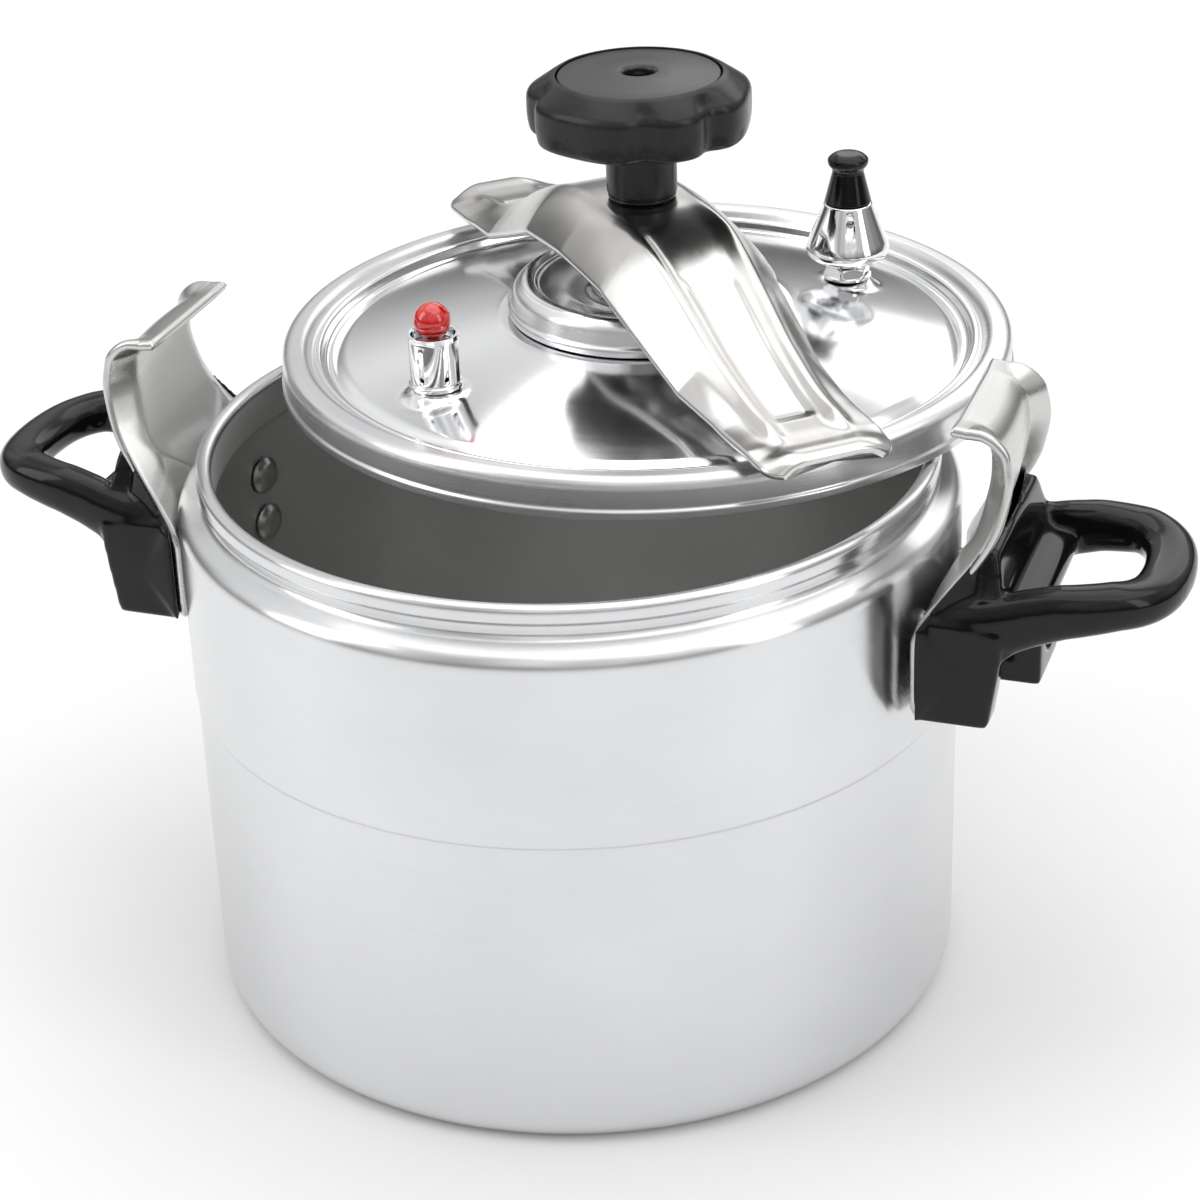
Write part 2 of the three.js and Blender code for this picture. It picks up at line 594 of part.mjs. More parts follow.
/** A helical spring between two heights. */
function spring(low, high) {
  const [turns, coilR, wireR] = [4, 3.5, 0.45];
  const coil = new (class extends THREE.Curve {
    getPoint(t, target = new THREE.Vector3()) {
      const a = 2 * Math.PI * turns * t;
      return target.set(coilR * Math.cos(a), coilR * Math.sin(a), low + (high - low) * t);
    }
  })();
  const wire = new THREE.Shape().absarc(0, 0, wireR, 0, 2 * Math.PI);
  const options = { steps: turns * 10, extrudePath: coil, curveSegments: 2 };
  return solid(new THREE.ExtrudeGeometry(wire, options));
}

// ---- Assembly -----------------------------------------------------------------------------------
add(root, 'pot_body', potBody(), polishedAluminium);
SIDES.forEach(([side, turn]) => addSide(side, turn));

const lid = station(root, LID_X, LID_Y, LID_Z);
addLid(lid);
addWeight(addVent(lid));
addSafety(lid);
add(lid, 'spindle', spindle(), zincSteel);
add(lid, 'knob', knob(), blackResin);
add(lid, 'knob_cap', knobCap(), blackResin);
add(lid, 'bridge_bush', bridgeBush(), zincSteel);
add(station(lid, 0, 0, 0, BRIDGE_TURN), 'bridge', bridge(), pressedSteel);

export default root;
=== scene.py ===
"""Looks of a stovetop pressure cooker with a bridge clamp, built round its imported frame.

Lengths in the classes below are millimetres; meshes are written in metres, in the frame's own axes.
"""

import logging
import math
from dataclasses import dataclass, field
from enum import Enum
from typing import Callable, Sequence, Union

import bpy
import numpy as np
from mathutils import Matrix, Vector


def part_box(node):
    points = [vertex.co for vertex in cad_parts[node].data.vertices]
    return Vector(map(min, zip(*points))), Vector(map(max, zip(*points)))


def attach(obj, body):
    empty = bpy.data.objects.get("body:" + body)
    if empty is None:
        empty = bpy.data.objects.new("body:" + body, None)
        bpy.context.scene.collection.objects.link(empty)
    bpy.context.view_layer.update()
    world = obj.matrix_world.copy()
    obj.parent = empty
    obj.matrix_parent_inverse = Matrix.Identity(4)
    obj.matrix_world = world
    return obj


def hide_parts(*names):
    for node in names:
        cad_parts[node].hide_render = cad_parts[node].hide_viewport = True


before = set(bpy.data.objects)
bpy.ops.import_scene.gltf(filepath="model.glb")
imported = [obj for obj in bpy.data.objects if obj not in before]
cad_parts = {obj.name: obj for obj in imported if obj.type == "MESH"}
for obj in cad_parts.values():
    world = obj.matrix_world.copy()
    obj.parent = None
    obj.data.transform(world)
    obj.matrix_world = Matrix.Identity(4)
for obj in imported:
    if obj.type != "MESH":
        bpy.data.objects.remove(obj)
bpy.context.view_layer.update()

MM = 0.001
Array = np.ndarray
Corner = tuple[float, float, float]
Colour = tuple[float, float, float]
log = logging.getLogger("cooker")


# ---- Shader maths ------------------------------------------------------------------------------
class Signal:
    """A shader socket that takes part in arithmetic; an expression adds its Math nodes."""

    def __init__(self, graph: "Graph", socket: bpy.types.NodeSocket) -> None:
        """Holds the socket and the graph that it belongs to."""
        self.graph = graph
        self.socket = socket

    def _math(self, operation: str, first: "Operand", second: "Operand") -> "Signal":
        """A Math node on two operands."""
        return self.graph.add("ShaderNodeMath", {"operation": operation}, {0: first, 1: second})

    def __add__(self, other: "Operand") -> "Signal":
        """self + other."""
        return self._math("ADD", self, other)

    __radd__ = __add__

    def __sub__(self, other: "Operand") -> "Signal":
        """self - other."""
        return self._math("SUBTRACT", self, other)

    def __rsub__(self, other: "Operand") -> "Signal":
        """other - self."""
        return self._math("SUBTRACT", other, self)

    def __mul__(self, other: "Operand") -> "Signal":
        """self * other."""
        return self._math("MULTIPLY", self, other)

    __rmul__ = __mul__


Operand = Union[Signal, float]


class Graph:
    """The node tree of one material."""

    def __init__(self, name: str) -> None:
        """Makes an empty material of that name."""
        self.material = bpy.data.materials.new(name)
        self.material.use_nodes = True
        self.tree = self.material.node_tree
        self.tree.nodes.clear()

    def add(self, kind: str, settings: dict, inputs: dict, output: int = 0) -> Signal:
        """Adds a node.

        Args:
            kind: the node's type.
            settings: its properties, and "stops" for a ramp's positions and greys.
            inputs: values or Signals for its sockets, by name or number.
            output: which of its outputs is wanted.

        Returns:
            That output.
        """
        node = self.tree.nodes.new(kind)
        for key, value in settings.items():
            if key == "stops":
                self.set_stops(node.color_ramp, value)
            else:
                setattr(node, key, value)
        for key, value in inputs.items():
            if isinstance(value, Signal):
                self.tree.links.new(value.socket, node.inputs[key])
            else:
                node.inputs[key].default_value = value
        return Signal(self, node.outputs[output]) if len(node.outputs) else Signal(self, node.inputs[0])

    @staticmethod
    def set_stops(ramp: bpy.types.ColorRamp, stops: Sequence[tuple[float, float]]) -> None:
        """Sets a ramp's stops from (position, grey) pairs."""
        while len(ramp.elements) < len(stops):
            ramp.elements.new(0.5)
        for element, (position, grey) in zip(ramp.elements, stops):
            element.position = position
            element.color = (grey, grey, grey, 1.0)

    def place(self, centre: Sequence[float]) -> Signal:
        """Object coordinates measured from a centre in metres."""
        coordinates = self.add("ShaderNodeTexCoord", {}, {}, output=3)
        shift = tuple(-c for c in centre)
        return self.add("ShaderNodeMapping", {}, {"Vector": coordinates, "Location": shift})

    def split(self, vector: Signal) -> tuple[Signal, Signal, Signal]:
        """The three components of a vector."""
        parts = self.add("ShaderNodeSeparateXYZ", {}, {0: vector}).socket.node
        return tuple(Signal(self, socket) for socket in parts.outputs)

    def joined(self, x: Operand, y: Operand, z: Operand) -> Signal:
        """A vector from three components."""
        return self.add("ShaderNodeCombineXYZ", {}, {0: x, 1: y, 2: z})

    def around(self, vector: Signal) -> Signal:
        """Distance from the Z axis."""
        flat = self.add("ShaderNodeVectorMath", {"operation": "MULTIPLY"}, {0: vector, 1: (1, 1, 0)})
        return self.add("ShaderNodeVectorMath", {"operation": "LENGTH"}, {0: flat}, output=1)

    def noise(self, vector: Signal, scale: float, detail: float = 3.0, rough: float = 0.55) -> Signal:
        """Soft noise from 0 to 1."""
        return self.add("ShaderNodeTexNoise", {}, {"Vector": vector, "Scale": scale, "Detail": detail,
                                                   "Roughness": rough})

    def ramp(self, value: Signal, *stops: tuple[float, float]) -> Signal:
        """A grey ramp of (position, grey) stops."""
        return self.add("ShaderNodeValToRGB", {"stops": stops}, {0: value})

    def blend(self, factor: Operand, first: Colour, second: Colour) -> Signal:
        """A colour between two colours."""
        settings = {"data_type": "RGBA"}
        inputs = {0: factor, 6: (*first, 1.0), 7: (*second, 1.0)}
        return self.add("ShaderNodeMix", settings, inputs, output=2)

    def bump(self, height_mm: Signal) -> Signal:
        """A normal from a height in millimetres."""
        return self.add("ShaderNodeBump", {}, {"Strength": 1.0, "Distance": MM, "Height": height_mm})

    def surface(self, inputs: dict) -> bpy.types.Material:
        """Ends the graph in a Principled surface.

        Args:
            inputs: the shader's sockets; what is the same all over is a plain number.

        Returns:
            The finished material.
        """
        shader = self.add("ShaderNodeBsdfPrincipled", {}, inputs)
        self.add("ShaderNodeOutputMaterial", {}, {"Surface": shader})
        return self.material


# ---- Finishes ----------------------------------------------------------------------------------
class Grain(Enum):
    """Which way the polishing marks run."""

    ROUND = "round the axis"
    ALONG = "along the piece"
    NONE = "none"


@dataclass(frozen=True)
class Metal:
    """A bare metal finish with polishing marks, a faint unevenness and handling smudges."""

    name: str
    colour: Colour
    shade: Colour
    rough_low: float
    rough_high: float
    grain: Grain = Grain.NONE
    marks_per_m: float = 900.0
    mark_depth: float = 0.0
    wave_per_m: float = 14.0
    wave_depth: float = 0.0
    spread: float = 0.0

    def material(self, centre: Sequence[float], turn: float = 0.0) -> bpy.types.Material:
        """Builds the material.

        Args:
            centre: the axis that round marks go about, metres.
            turn: the direction of marks along the piece, radians from X.

        Returns:
            The material.
        """
        graph = Graph(self.name)
        point = graph.place(centre)
        x, y, z = graph.split(point)
        height = (graph.noise(point, self.wave_per_m, 2.0) - 0.5) * self.wave_depth
        height = height + (graph.noise(point, self.wave_per_m * 4.5, 2.0) - 0.5) * (self.wave_depth * 0.16)
        smudge = graph.noise(point, 22.0, 3.0, 0.5)
        if self.grain is Grain.ROUND:
            slow = (x + y) * 12.0
            lane = graph.joined(graph.around(point) * self.marks_per_m, z * self.marks_per_m, slow)
        else:
            across = x * (-math.sin(turn)) + y * math.cos(turn)
            along = x * math.cos(turn) + y * math.sin(turn)
            lane = graph.joined(across * self.marks_per_m, along * 20.0, z * (self.marks_per_m * 0.5))
        marks = graph.noise(lane, 1.0, 4.0, 0.7)
        if self.mark_depth:
            height = height + (marks - 0.5) * self.mark_depth
        span = self.rough_high - self.rough_low
        cloud = graph.ramp(smudge, (0.25, 0.0), (0.80, 1.0))
        rough = cloud * (span * 0.6) + graph.ramp(marks, (0.35, 0.0), (0.7, 1.0)) * (span * 0.4)
        return graph.surface({
            "Base Color": graph.blend(cloud * 0.5 + marks * 0.3, self.colour, self.shade),
            "Metallic": 1.0,
            "Roughness": rough + self.rough_low,
            "Anisotropic": self.spread,
            "Anisotropic Rotation": 0.25,
            "Normal": graph.bump(height),
        })


@dataclass(frozen=True)
class Moulded:
    """A moulded plastic or rubber with a fine skin, flow marks and rubbed patches."""

    name: str
    colour: Colour
    rubbed: Colour
    rough_low: float
    rough_high: float
    skin_per_m: float = 1600.0
    skin_depth: float = 0.004
    flow_depth: float = 0.05
    coat: float = 0.0
    mirror: float = 0.5

    def material(self, centre: Sequence[float]) -> bpy.types.Material:
        """Builds the material, with its pattern measured from a centre in metres."""
        graph = Graph(self.name)
        point = graph.place(centre)
        skin = graph.noise(point, self.skin_per_m, 2.0)
        flow = graph.noise(point, 34.0, 2.0)
        scuffs = graph.noise(graph.add("ShaderNodeMapping", {}, {"Vector": point, "Scale": (1.0, 5.0, 2.2)}),
                             150.0, 6.0, 0.7)
        worn = graph.ramp(scuffs, (0.55, 0.0), (0.78, 1.0))
        patch = graph.ramp(graph.noise(point, 55.0, 4.0), (0.35, 0.0), (0.7, 1.0))
        span = self.rough_high - self.rough_low
        height = (skin - 0.5) * self.skin_depth + (flow - 0.5) * self.flow_depth
        return graph.surface({
            "Base Color": graph.blend(worn * 0.5 + patch * 0.35, self.colour, self.rubbed),
            "Roughness": patch * (span * 0.6) + worn * (span * 0.4) + self.rough_low,
            "Specular IOR Level": self.mirror,
            "Coat Weight": self.coat,
            "Coat Roughness": 0.06,
            "Normal": graph.bump(height),
        })


POLISHED = Metal("polished_aluminium", (0.76, 0.765, 0.775), (0.70, 0.705, 0.715), 0.2, 0.29, Grain.ROUND,
                 marks_per_m=1500.0, mark_depth=0.0008, wave_per_m=9.0, wave_depth=0.12, spread=0.85)
MATT = Metal("matt_aluminium", (0.84, 0.835, 0.82), (0.72, 0.715, 0.70), 0.42, 0.55, Grain.ROUND,
             marks_per_m=900.0, mark_depth=0.005, wave_per_m=11.0, wave_depth=0.1, spread=0.7)
LID_METAL = Metal("mirror_aluminium", (0.90, 0.905, 0.915), (0.85, 0.855, 0.865), 0.10, 0.18, Grain.ROUND,
                  marks_per_m=1400.0, mark_depth=0.0006, wave_per_m=10.0, wave_depth=0.12, spread=0.35)
BRUSHED = Metal("brushed_aluminium", (0.84, 0.845, 0.855), (0.74, 0.745, 0.755), 0.24, 0.36, Grain.ROUND,
                marks_per_m=1100.0, mark_depth=0.0024, wave_per_m=10.0, wave_depth=0.08, spread=0.8)
PRESSED = Metal("pressed_steel", (0.66, 0.655, 0.64), (0.54, 0.535, 0.52), 0.24, 0.36, Grain.ALONG,
                marks_per_m=1100.0, mark_depth=0.0018, wave_per_m=20.0, wave_depth=0.08)
BUFFED = Metal("buffed_steel", (0.70, 0.69, 0.675), (0.60, 0.59, 0.575), 0.18, 0.28, Grain.ALONG,
               marks_per_m=1000.0, mark_depth=0.0012, wave_per_m=20.0, wave_depth=0.10)
CHROME = Metal("chrome", (0.93, 0.935, 0.94), (0.86, 0.865, 0.87), 0.03, 0.10, Grain.ROUND,
               marks_per_m=1500.0, mark_depth=0.0006)
ZINC = Metal("zinc_steel", (0.62, 0.625, 0.64), (0.44, 0.445, 0.455), 0.28, 0.46, Grain.ROUND,
             marks_per_m=2200.0, mark_depth=0.006)
HEADS = Metal("aluminium_heads", (0.66, 0.66, 0.65), (0.46, 0.455, 0.44), 0.24, 0.44, Grain.NONE,
              marks_per_m=300.0, mark_depth=0.03, wave_per_m=160.0, wave_depth=0.12)
BLACK = Moulded("black_resin", (0.0035, 0.0035, 0.004), (0.010, 0.010, 0.010), 0.09, 0.20, flow_depth=0.04,
               mirror=0.3)
SATIN = Moulded("satin_resin", (0.010, 0.010, 0.010), (0.030, 0.030, 0.029), 0.24, 0.42,
                skin_per_m=1100.0, skin_depth=0.012, mirror=0.3)
COVER = Moulded("cover_resin", (0.020, 0.020, 0.020), (0.045, 0.045, 0.044), 0.26, 0.38,
                skin_per_m=900.0, skin_depth=0.008)
RED = Moulded("red_plastic", (0.62, 0.008, 0.006), (0.72, 0.02, 0.012), 0.07, 0.14, flow_depth=0.015,
              coat=1.0)
RUBBER = Moulded("grey_rubber", (0.055, 0.056, 0.058), (0.10, 0.10, 0.10), 0.6, 0.8, skin_depth=0.02)


# ---- Surfaces ----------------------------------------------------------------------------------
def outline(corners: Sequence[Corner], steps: int = 6) -> Array:
    """A profile whose corners are rounded.

    Each corner (radius, height, leg) becomes a quadratic curve that leaves the first side one leg before
    the corner and meets the second one leg after it. A short straight piece on either side keeps the
    shading of the flats flat.

    Args:
        corners: radius, height and leg of each corner.
        steps: pieces in each rounded corner.

    Returns:
        Points as (n, 2).
    """
    at = np.array([c[:2] for c in corners], float)
    made = [at[:1]]
    for i in range(1, len(at) - 1):
        back, on = at[i - 1] - at[i], at[i + 1] - at[i]
        room = min(np.hypot(*back), np.hypot(*on)) * 0.48
        leg = min(corners[i][2], room)
        if leg <= 0:
            made.append(at[i:i + 1])
            continue
        start, end = at[i] + back / np.hypot(*back) * leg, at[i] + on / np.hypot(*on) * leg
        t = np.linspace(0, 1, steps + 1)[:, None]
        curve = start * (1 - t) ** 2 + at[i] * 2 * t * (1 - t) + end * t ** 2
        flat = min(0.3 * leg, room - leg + 1e-3)
        before, after = start + back / np.hypot(*back) * flat, end + on / np.hypot(*on) * flat
        made += [before[None], curve, after[None]]
    made.append(at[-1:])
    return np.concatenate(made)


def curve_through(knots: Sequence[Sequence[float]], count: int) -> Array:
    """A Catmull-Rom curve through knots, at even steps of its own length, as (count, dimensions)."""
    k = np.array(knots, float)
    k = np.vstack([2 * k[0] - k[1], k, 2 * k[-1] - k[-2]])
    t = np.linspace(0, 1, 24, endpoint=False)[:, None]
    pieces = [0.5 * (2 * b + (c - a) * t + (2 * a - 5 * b + 4 * c - d) * t ** 2
                     + (3 * b - a - 3 * c + d) * t ** 3)
              for a, b, c, d in zip(k[:-3], k[1:-2], k[2:-1], k[3:])]
    dense = np.vstack([*pieces, k[-2:-1]])
    run = np.concatenate([[0], np.cumsum(np.linalg.norm(np.diff(dense, axis=0), axis=1))])
    wanted = np.linspace(0, run[-1], count)
    return np.stack([np.interp(wanted, run, dense[:, i]) for i in range(dense.shape[1])], axis=1)


def ease(value: Array, low: float, high: float) -> Array:
    """0 below low, 1 above high, and a smooth rise between them."""
    t = np.clip((np.asarray(value, float) - low) / (high - low), 0, 1)
    return t * t * (3 - 2 * t)


def normals_of(points: Array) -> Array:
    """Unit normals of a grid of points: the cross product of its two central differences."""
    n = np.cross(np.gradient(points, axis=0), np.gradient(points, axis=1))
    return n / np.maximum(np.linalg.norm(n, axis=2, keepdims=True), 1e-12)


@dataclass
class Skin:
    """Points on a grid of rows and columns, and how the grid closes."""

    points: Array
    wrap_rows: bool = False
    wrap_columns: bool = True
    caps: bool = True

    def mesh_data(self) -> tuple[Array, list]:
        """Vertices and faces, with a fan to the middle of each open end row, facing outwards."""
        rows, columns = self.points.shape[:2]
        index = np.arange(rows * columns).reshape(rows, columns)
        if self.wrap_columns:
            index = np.hstack([index, index[:, :1]])
        if self.wrap_rows:
            index = np.vstack([index, index[:1]])
        quads = np.stack([index[:-1, :-1], index[:-1, 1:], index[1:, 1:], index[1:, :-1]], -1).reshape(-1, 4)
        vertices, faces = self.points.reshape(-1, 3), quads.tolist()
        if self.caps and not self.wrap_rows:
            ends = self.points[[0, -1]].mean(1)
            base = len(vertices)
            vertices = np.vstack([vertices, ends])
            first, last = index[0], index[-1]
            faces += np.stack([first[1:], first[:-1], np.full(len(first) - 1, base)], -1).tolist()
            faces += np.stack([last[:-1], last[1:], np.full(len(last) - 1, base + 1)], -1).tolist()
        return outward(vertices, faces)


def outward(vertices: Array, faces: list) -> tuple[Array, list]:
    """The same closed shape with its faces turned outwards, judged by the sign of its volume."""
    corners = np.array([[f[0], f[i], f[i + 1]] for f in faces for i in range(1, len(f) - 1)])
    a, b, c = (vertices[corners[:, i]] for i in range(3))
    if np.einsum("ij,ij->", a, np.cross(b, c)) < 0:
        faces = [f[::-1] for f in faces]
    return vertices, faces


def turned(profile: Array, columns: int, swell: Callable[[Array, Array], Array] | None = None,
           wrap: bool = False) -> Skin:
    """A profile carried round the Z axis.

    A point at profile radius r and angle a lies at (r cos a, r sin a, z). Swell gives the radius
    instead, from the profile points and the angles. A profile that starts or ends on the axis is
    closed there by a fan.

    Args:
        profile: (n, 2) radii and heights.
        columns: steps round the axis.
        swell: gives the radius at (profile, angles), for lobes, flats and threads.
        wrap: the profile is a closed ring.

    Returns:
        The surface.
    """
    if not wrap:
        profile = np.where(np.abs(profile) < 1e-9, 0, profile)
        keep = profile[:, 0] > 1e-6
        profile = profile[keep]
    angles = np.linspace(0, 2 * np.pi, columns, endpoint=False)
    radius = np.repeat(profile[:, :1], columns, 1) if swell is None else swell(profile, angles)
    z = np.repeat(profile[:, 1:], columns, 1)
    points = np.stack([radius * np.cos(angles), radius * np.sin(angles), z], -1)
    return Skin(points, wrap_rows=wrap)


def sheet(face: Array, thickness: float) -> Skin:
    """A face given a thickness, with round edges.

    The sheet's middle lies half a thickness under the face. Its two sides stand off the middle by
    half a thickness, less near the four edges, where the distance falls along a quarter circle.

    Args:
        face: grid of points whose normals point to the showing side.
        thickness: of the sheet.

    Returns:
        A closed surface whose columns go round the section.
    """
    half = thickness / 2
    normal = normals_of(face)
    middle = face - normal * half
    along = np.linalg.norm(np.diff(face, axis=0), axis=2)
    across = np.linalg.norm(np.diff(face, axis=1), axis=2)
    run_u = np.vstack([np.zeros(face.shape[1]), np.cumsum(along, 0)])
    run_v = np.hstack([np.zeros((face.shape[0], 1)), np.cumsum(across, 1)])
    near = np.minimum(np.minimum(run_u, run_u[-1:] - run_u), np.minimum(run_v, run_v[:, -1:] - run_v))
    stand = half * np.sqrt(1 - (1 - np.clip(near / half, 0, 1)) ** 2)
    above, below = middle + normal * stand[..., None], middle - normal * stand[..., None]
    return Skin(np.concatenate([above, below[:, -2:0:-1]], axis=1))


def spaced(low: float, high: float, count: int, edge: float, extra: int = 5) -> Array:
    """Even steps from low to high, with extra steps in the last edge of length at either end."""
    turn = 1 - np.cos(np.linspace(0, np.pi / 2, extra + 1))
    start, end = low + edge * turn, high - edge * turn[::-1]
    return np.concatenate([start[:-1], np.linspace(low + edge, high - edge, count), end[1:]])


def tube(path: Array, wide: Array, tall: Array, around: int = 40, square: float = 2.0) -> Skin:
    """A rounded bar carried along a path.

    The section is a superellipse whose half width lies level, square to the path, and whose half
    height stands on both. Its corners fill as square rises above 2.

    Args:
        path: (n, 3) middle of the bar.
        wide: half width at each point.
        tall: half height at each point.
        around: points in a section.
        square: the superellipse's power.

    Returns:
        The bar, closed at both ends.
    """
    run = np.gradient(path, axis=0)
    run /= np.linalg.norm(run, axis=1, keepdims=True)
    side = np.cross(run, [0, 0, 1.0])
    side /= np.linalg.norm(side, axis=1, keepdims=True)
    up = np.cross(side, run)
    a = np.linspace(0, 2 * np.pi, around, endpoint=False)
    c, s = np.cos(a), np.sin(a)
    c, s = np.sign(c) * np.abs(c) ** (2 / square), np.sign(s) * np.abs(s) ** (2 / square)
    points = (path[:, None] + side[:, None] * (wide[:, None] * c)[..., None]
              + up[:, None] * (tall[:, None] * s)[..., None])
    return Skin(points)


# ---- Pieces ------------------------------------------------------------------------------------
@dataclass
class Place:
    """Where a piece stands: a shift in millimetres after a turn about Z in radians."""

    shift: Sequence[float] = (0.0, 0.0, 0.0)
    turn: float = 0.0

    def put(self, points: Array) -> Array:
        """The points, turned and shifted, in metres."""
        c, s = math.cos(self.turn), math.sin(self.turn)
        rotation = np.array([[c, -s, 0], [s, c, 0], [0, 0, 1.0]])
        return (points @ rotation.T + np.array(self.shift, float)) * MM

    def metres(self) -> tuple[float, float, float]:
        """The shift in metres."""
        return tuple(float(v) * MM for v in self.shift)


def lying_on_x(points: Array) -> Array:
    """Points of a piece turned about Z, laid over so that its axis runs along X."""
    return np.stack([points[..., 2], points[..., 1], -points[..., 0]], -1)


@dataclass
class Piece:
    """One visible piece: its mesh, the body it rides on, the solids it stands for and its slot."""

    name: str
    body: str
    slot: str
    replaces: Sequence[str]

    def build(self, vertices: Array, faces: Sequence, materials: Sequence[bpy.types.Material],
              inner: Array | None = None) -> bpy.types.Object:
        """Writes the mesh and hands the piece to the frame.

        Args:
            vertices: (n, 3) in metres.
            faces: lists of vertex numbers.
            materials: one, or two with the second for the inner faces.
            inner: which faces take the second material.

        Returns:
            The object.
        """
        mesh = bpy.data.meshes.new(self.name)
        mesh.from_pydata(np.asarray(vertices, float).tolist(), [], [list(f) for f in faces])
        for material in materials:
            mesh.materials.append(material)
        mesh.polygons.foreach_set("use_smooth", np.ones(len(mesh.polygons), bool))
        if inner is not None:
            mesh.polygons.foreach_set("material_index", np.asarray(inner, np.int32))
        mesh.update()
        mesh.validate()
        piece = bpy.data.objects.new(self.name, mesh)
        bpy.context.scene.collection.objects.link(piece)
        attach(piece, self.body)
        if self.replaces:
            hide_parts(*self.replaces)
        log.info("%s: %d faces on %s", self.name, len(mesh.polygons), self.body)
        return piece

    def skin(self, surface: Skin, place: Place, material: bpy.types.Material) -> bpy.types.Object:
        """Builds the piece from one surface at a place."""
        vertices, faces = surface.mesh_data()
        return self.build(place.put(vertices), faces, [material])


def evaluated(source: bpy.types.Object) -> tuple[Array, list]:
    """Vertices and faces of an object with its modifiers applied; the object is removed."""
    graph = bpy.context.evaluated_depsgraph_get()
    mesh = bpy.data.meshes.new_from_object(source.evaluated_get(graph))
    flat = np.empty(len(mesh.vertices) * 3)
    mesh.vertices.foreach_get("co", flat)
    faces = [list(p.vertices) for p in mesh.polygons]
    bpy.data.meshes.remove(mesh)
    bpy.data.objects.remove(source)
    return flat.reshape(-1, 3), faces


def scratch(vertices: Array, faces: list) -> bpy.types.Object:
    """A working object, not part of the cooker."""
    mesh = bpy.data.meshes.new("work")
    mesh.from_pydata(vertices.tolist(), [], faces)
    made = bpy.data.objects.new("work", mesh)
    bpy.context.scene.collection.objects.link(made)
    return made


def fused(skins: Sequence[Skin], cell: float, passes: int) -> tuple[Array, list]:
    """Overlapping closed surfaces melted into one, with soft fillets where they meet.

    Args:
        skins: the surfaces.
        cell: size of the remeshed faces, millimetres.
        passes: how many times the result is smoothed.

    Returns:
        Vertices and faces.
    """
    vertices, faces, base = [], [], 0
    for skin in skins:
        v, f = skin.mesh_data()
        vertices.append(v)
        faces += [[i + base for i in face] for face in f]
        base += len(v)
    work = scratch(np.vstack(vertices), faces)
    remesh = work.modifiers.new("remesh", "REMESH")
    remesh.mode = "VOXEL"
    remesh.voxel_size = cell
    soft = work.modifiers.new("soft", "SMOOTH")
    soft.factor = 0.5
    soft.iterations = passes
    return evaluated(work)


def drilled(skin: Skin, drills: Sequence[Skin]) -> tuple[Array, list]:
    """A surface with holes cut by other closed surfaces."""
    work = scratch(*skin.mesh_data())
    tools = [scratch(*drill.mesh_data()) for drill in drills]
    for tool in tools:
        cut = work.modifiers.new("cut", "BOOLEAN")
        cut.operation = "DIFFERENCE"
        cut.solver = "EXACT"
        cut.object = tool
    result = evaluated(work)
    for tool in tools:
        bpy.data.objects.remove(tool)
    return result


def hexagon(across: float) -> Callable[[Array, Array], Array]:
    """Swell of a hexagon bar: the flats cut the turned profile at half the width across them."""
    def radius(profile: Array, angles: Array) -> Array:
        """The smaller of the turned radius and the nearest flat's distance."""
        folded = np.mod(angles + np.pi / 6, np.pi / 3) - np.pi / 6
        return np.minimum(profile[:, :1], (across / 2 / np.cos(folded))[None])
    return radius


def middle_of(node: str) -> Array:
    """The middle of a frame node's box, millimetres."""
    low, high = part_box(node)
    return (np.array(low) + np.array(high)) / 2 / MM


# ---- Pot ---------------------------------------------------------------------------------------
@dataclass
class Pot:
    """The spun pot: flat base, straight wall with a fine step, a shoulder, a neck and a rolled rim."""

    wall_r: float = 115.0
    sheet: float = 2.6
    base: float = 4.0
    step_z: float = 99.0
    shoulder_z: float = 156.6
    neck_r: float = 107.2
    rim_top: float = 169.5
    rim_r: float = 108.8
    mouth_r: float = 104.0
    columns: int = 320

    def profile(self) -> tuple[Array, int]:
        """The closed section, and how many of its points lie outside."""
        low_r = self.wall_r - 0.5
        bead = (self.rim_r - self.mouth_r) / 2
        outside = outline([
            (0, 0, 0), (low_r, 0, 9.5), (low_r, self.step_z, 0.5), (self.wall_r, self.step_z + 0.9, 0.6),
            (self.wall_r, self.shoulder_z, 9.5), (self.neck_r + 1.0, self.shoulder_z + 3.0, 1.6),
            (self.neck_r, self.shoulder_z + 4.2, 0.8), (self.neck_r, self.rim_top - 2 * bead - 0.6, 0.8),
            (self.rim_r, self.rim_top - 2 * bead, 1.2), (self.rim_r, self.rim_top, bead),
            (self.mouth_r, self.rim_top, bead), (self.mouth_r, self.rim_top - 10, 0)], steps=9)
        inner_r = self.wall_r - self.sheet
        inside = outline([
            (self.mouth_r, self.rim_top - 10, 0), (self.mouth_r, self.shoulder_z - 1.5, 2.5),
            (inner_r, self.shoulder_z - 3.4, 8), (inner_r, self.base, 9), (0, self.base, 0)], steps=9)
        floor_rings = np.stack([np.linspace(100, 1, 12), np.full(12, self.base)], 1)
        return np.vstack([outside, inside[1:-1], floor_rings]), len(outside)

    def build(self) -> None:
        """Makes the pot with a polished outside and a matt inside."""
        profile, outside = self.profile()
        surface = turned(profile, self.columns)
        vertices, faces = surface.mesh_data()
        rows = np.repeat(np.arange(len(surface.points) - 1), self.columns)
        below_rim = rows >= outside - 3
        outer_fan, inner_fan = np.zeros(self.columns, bool), np.ones(self.columns, bool)
        inner = np.concatenate([below_rim, outer_fan, inner_fan])
        piece = Piece("pot_wall", "pot", "polished_aluminium", ["pot_body"])
        axis = (0.0, 0.0, 0.0)
        piece.build(vertices * MM, faces, [POLISHED.material(axis), MATT.material(axis)], inner)


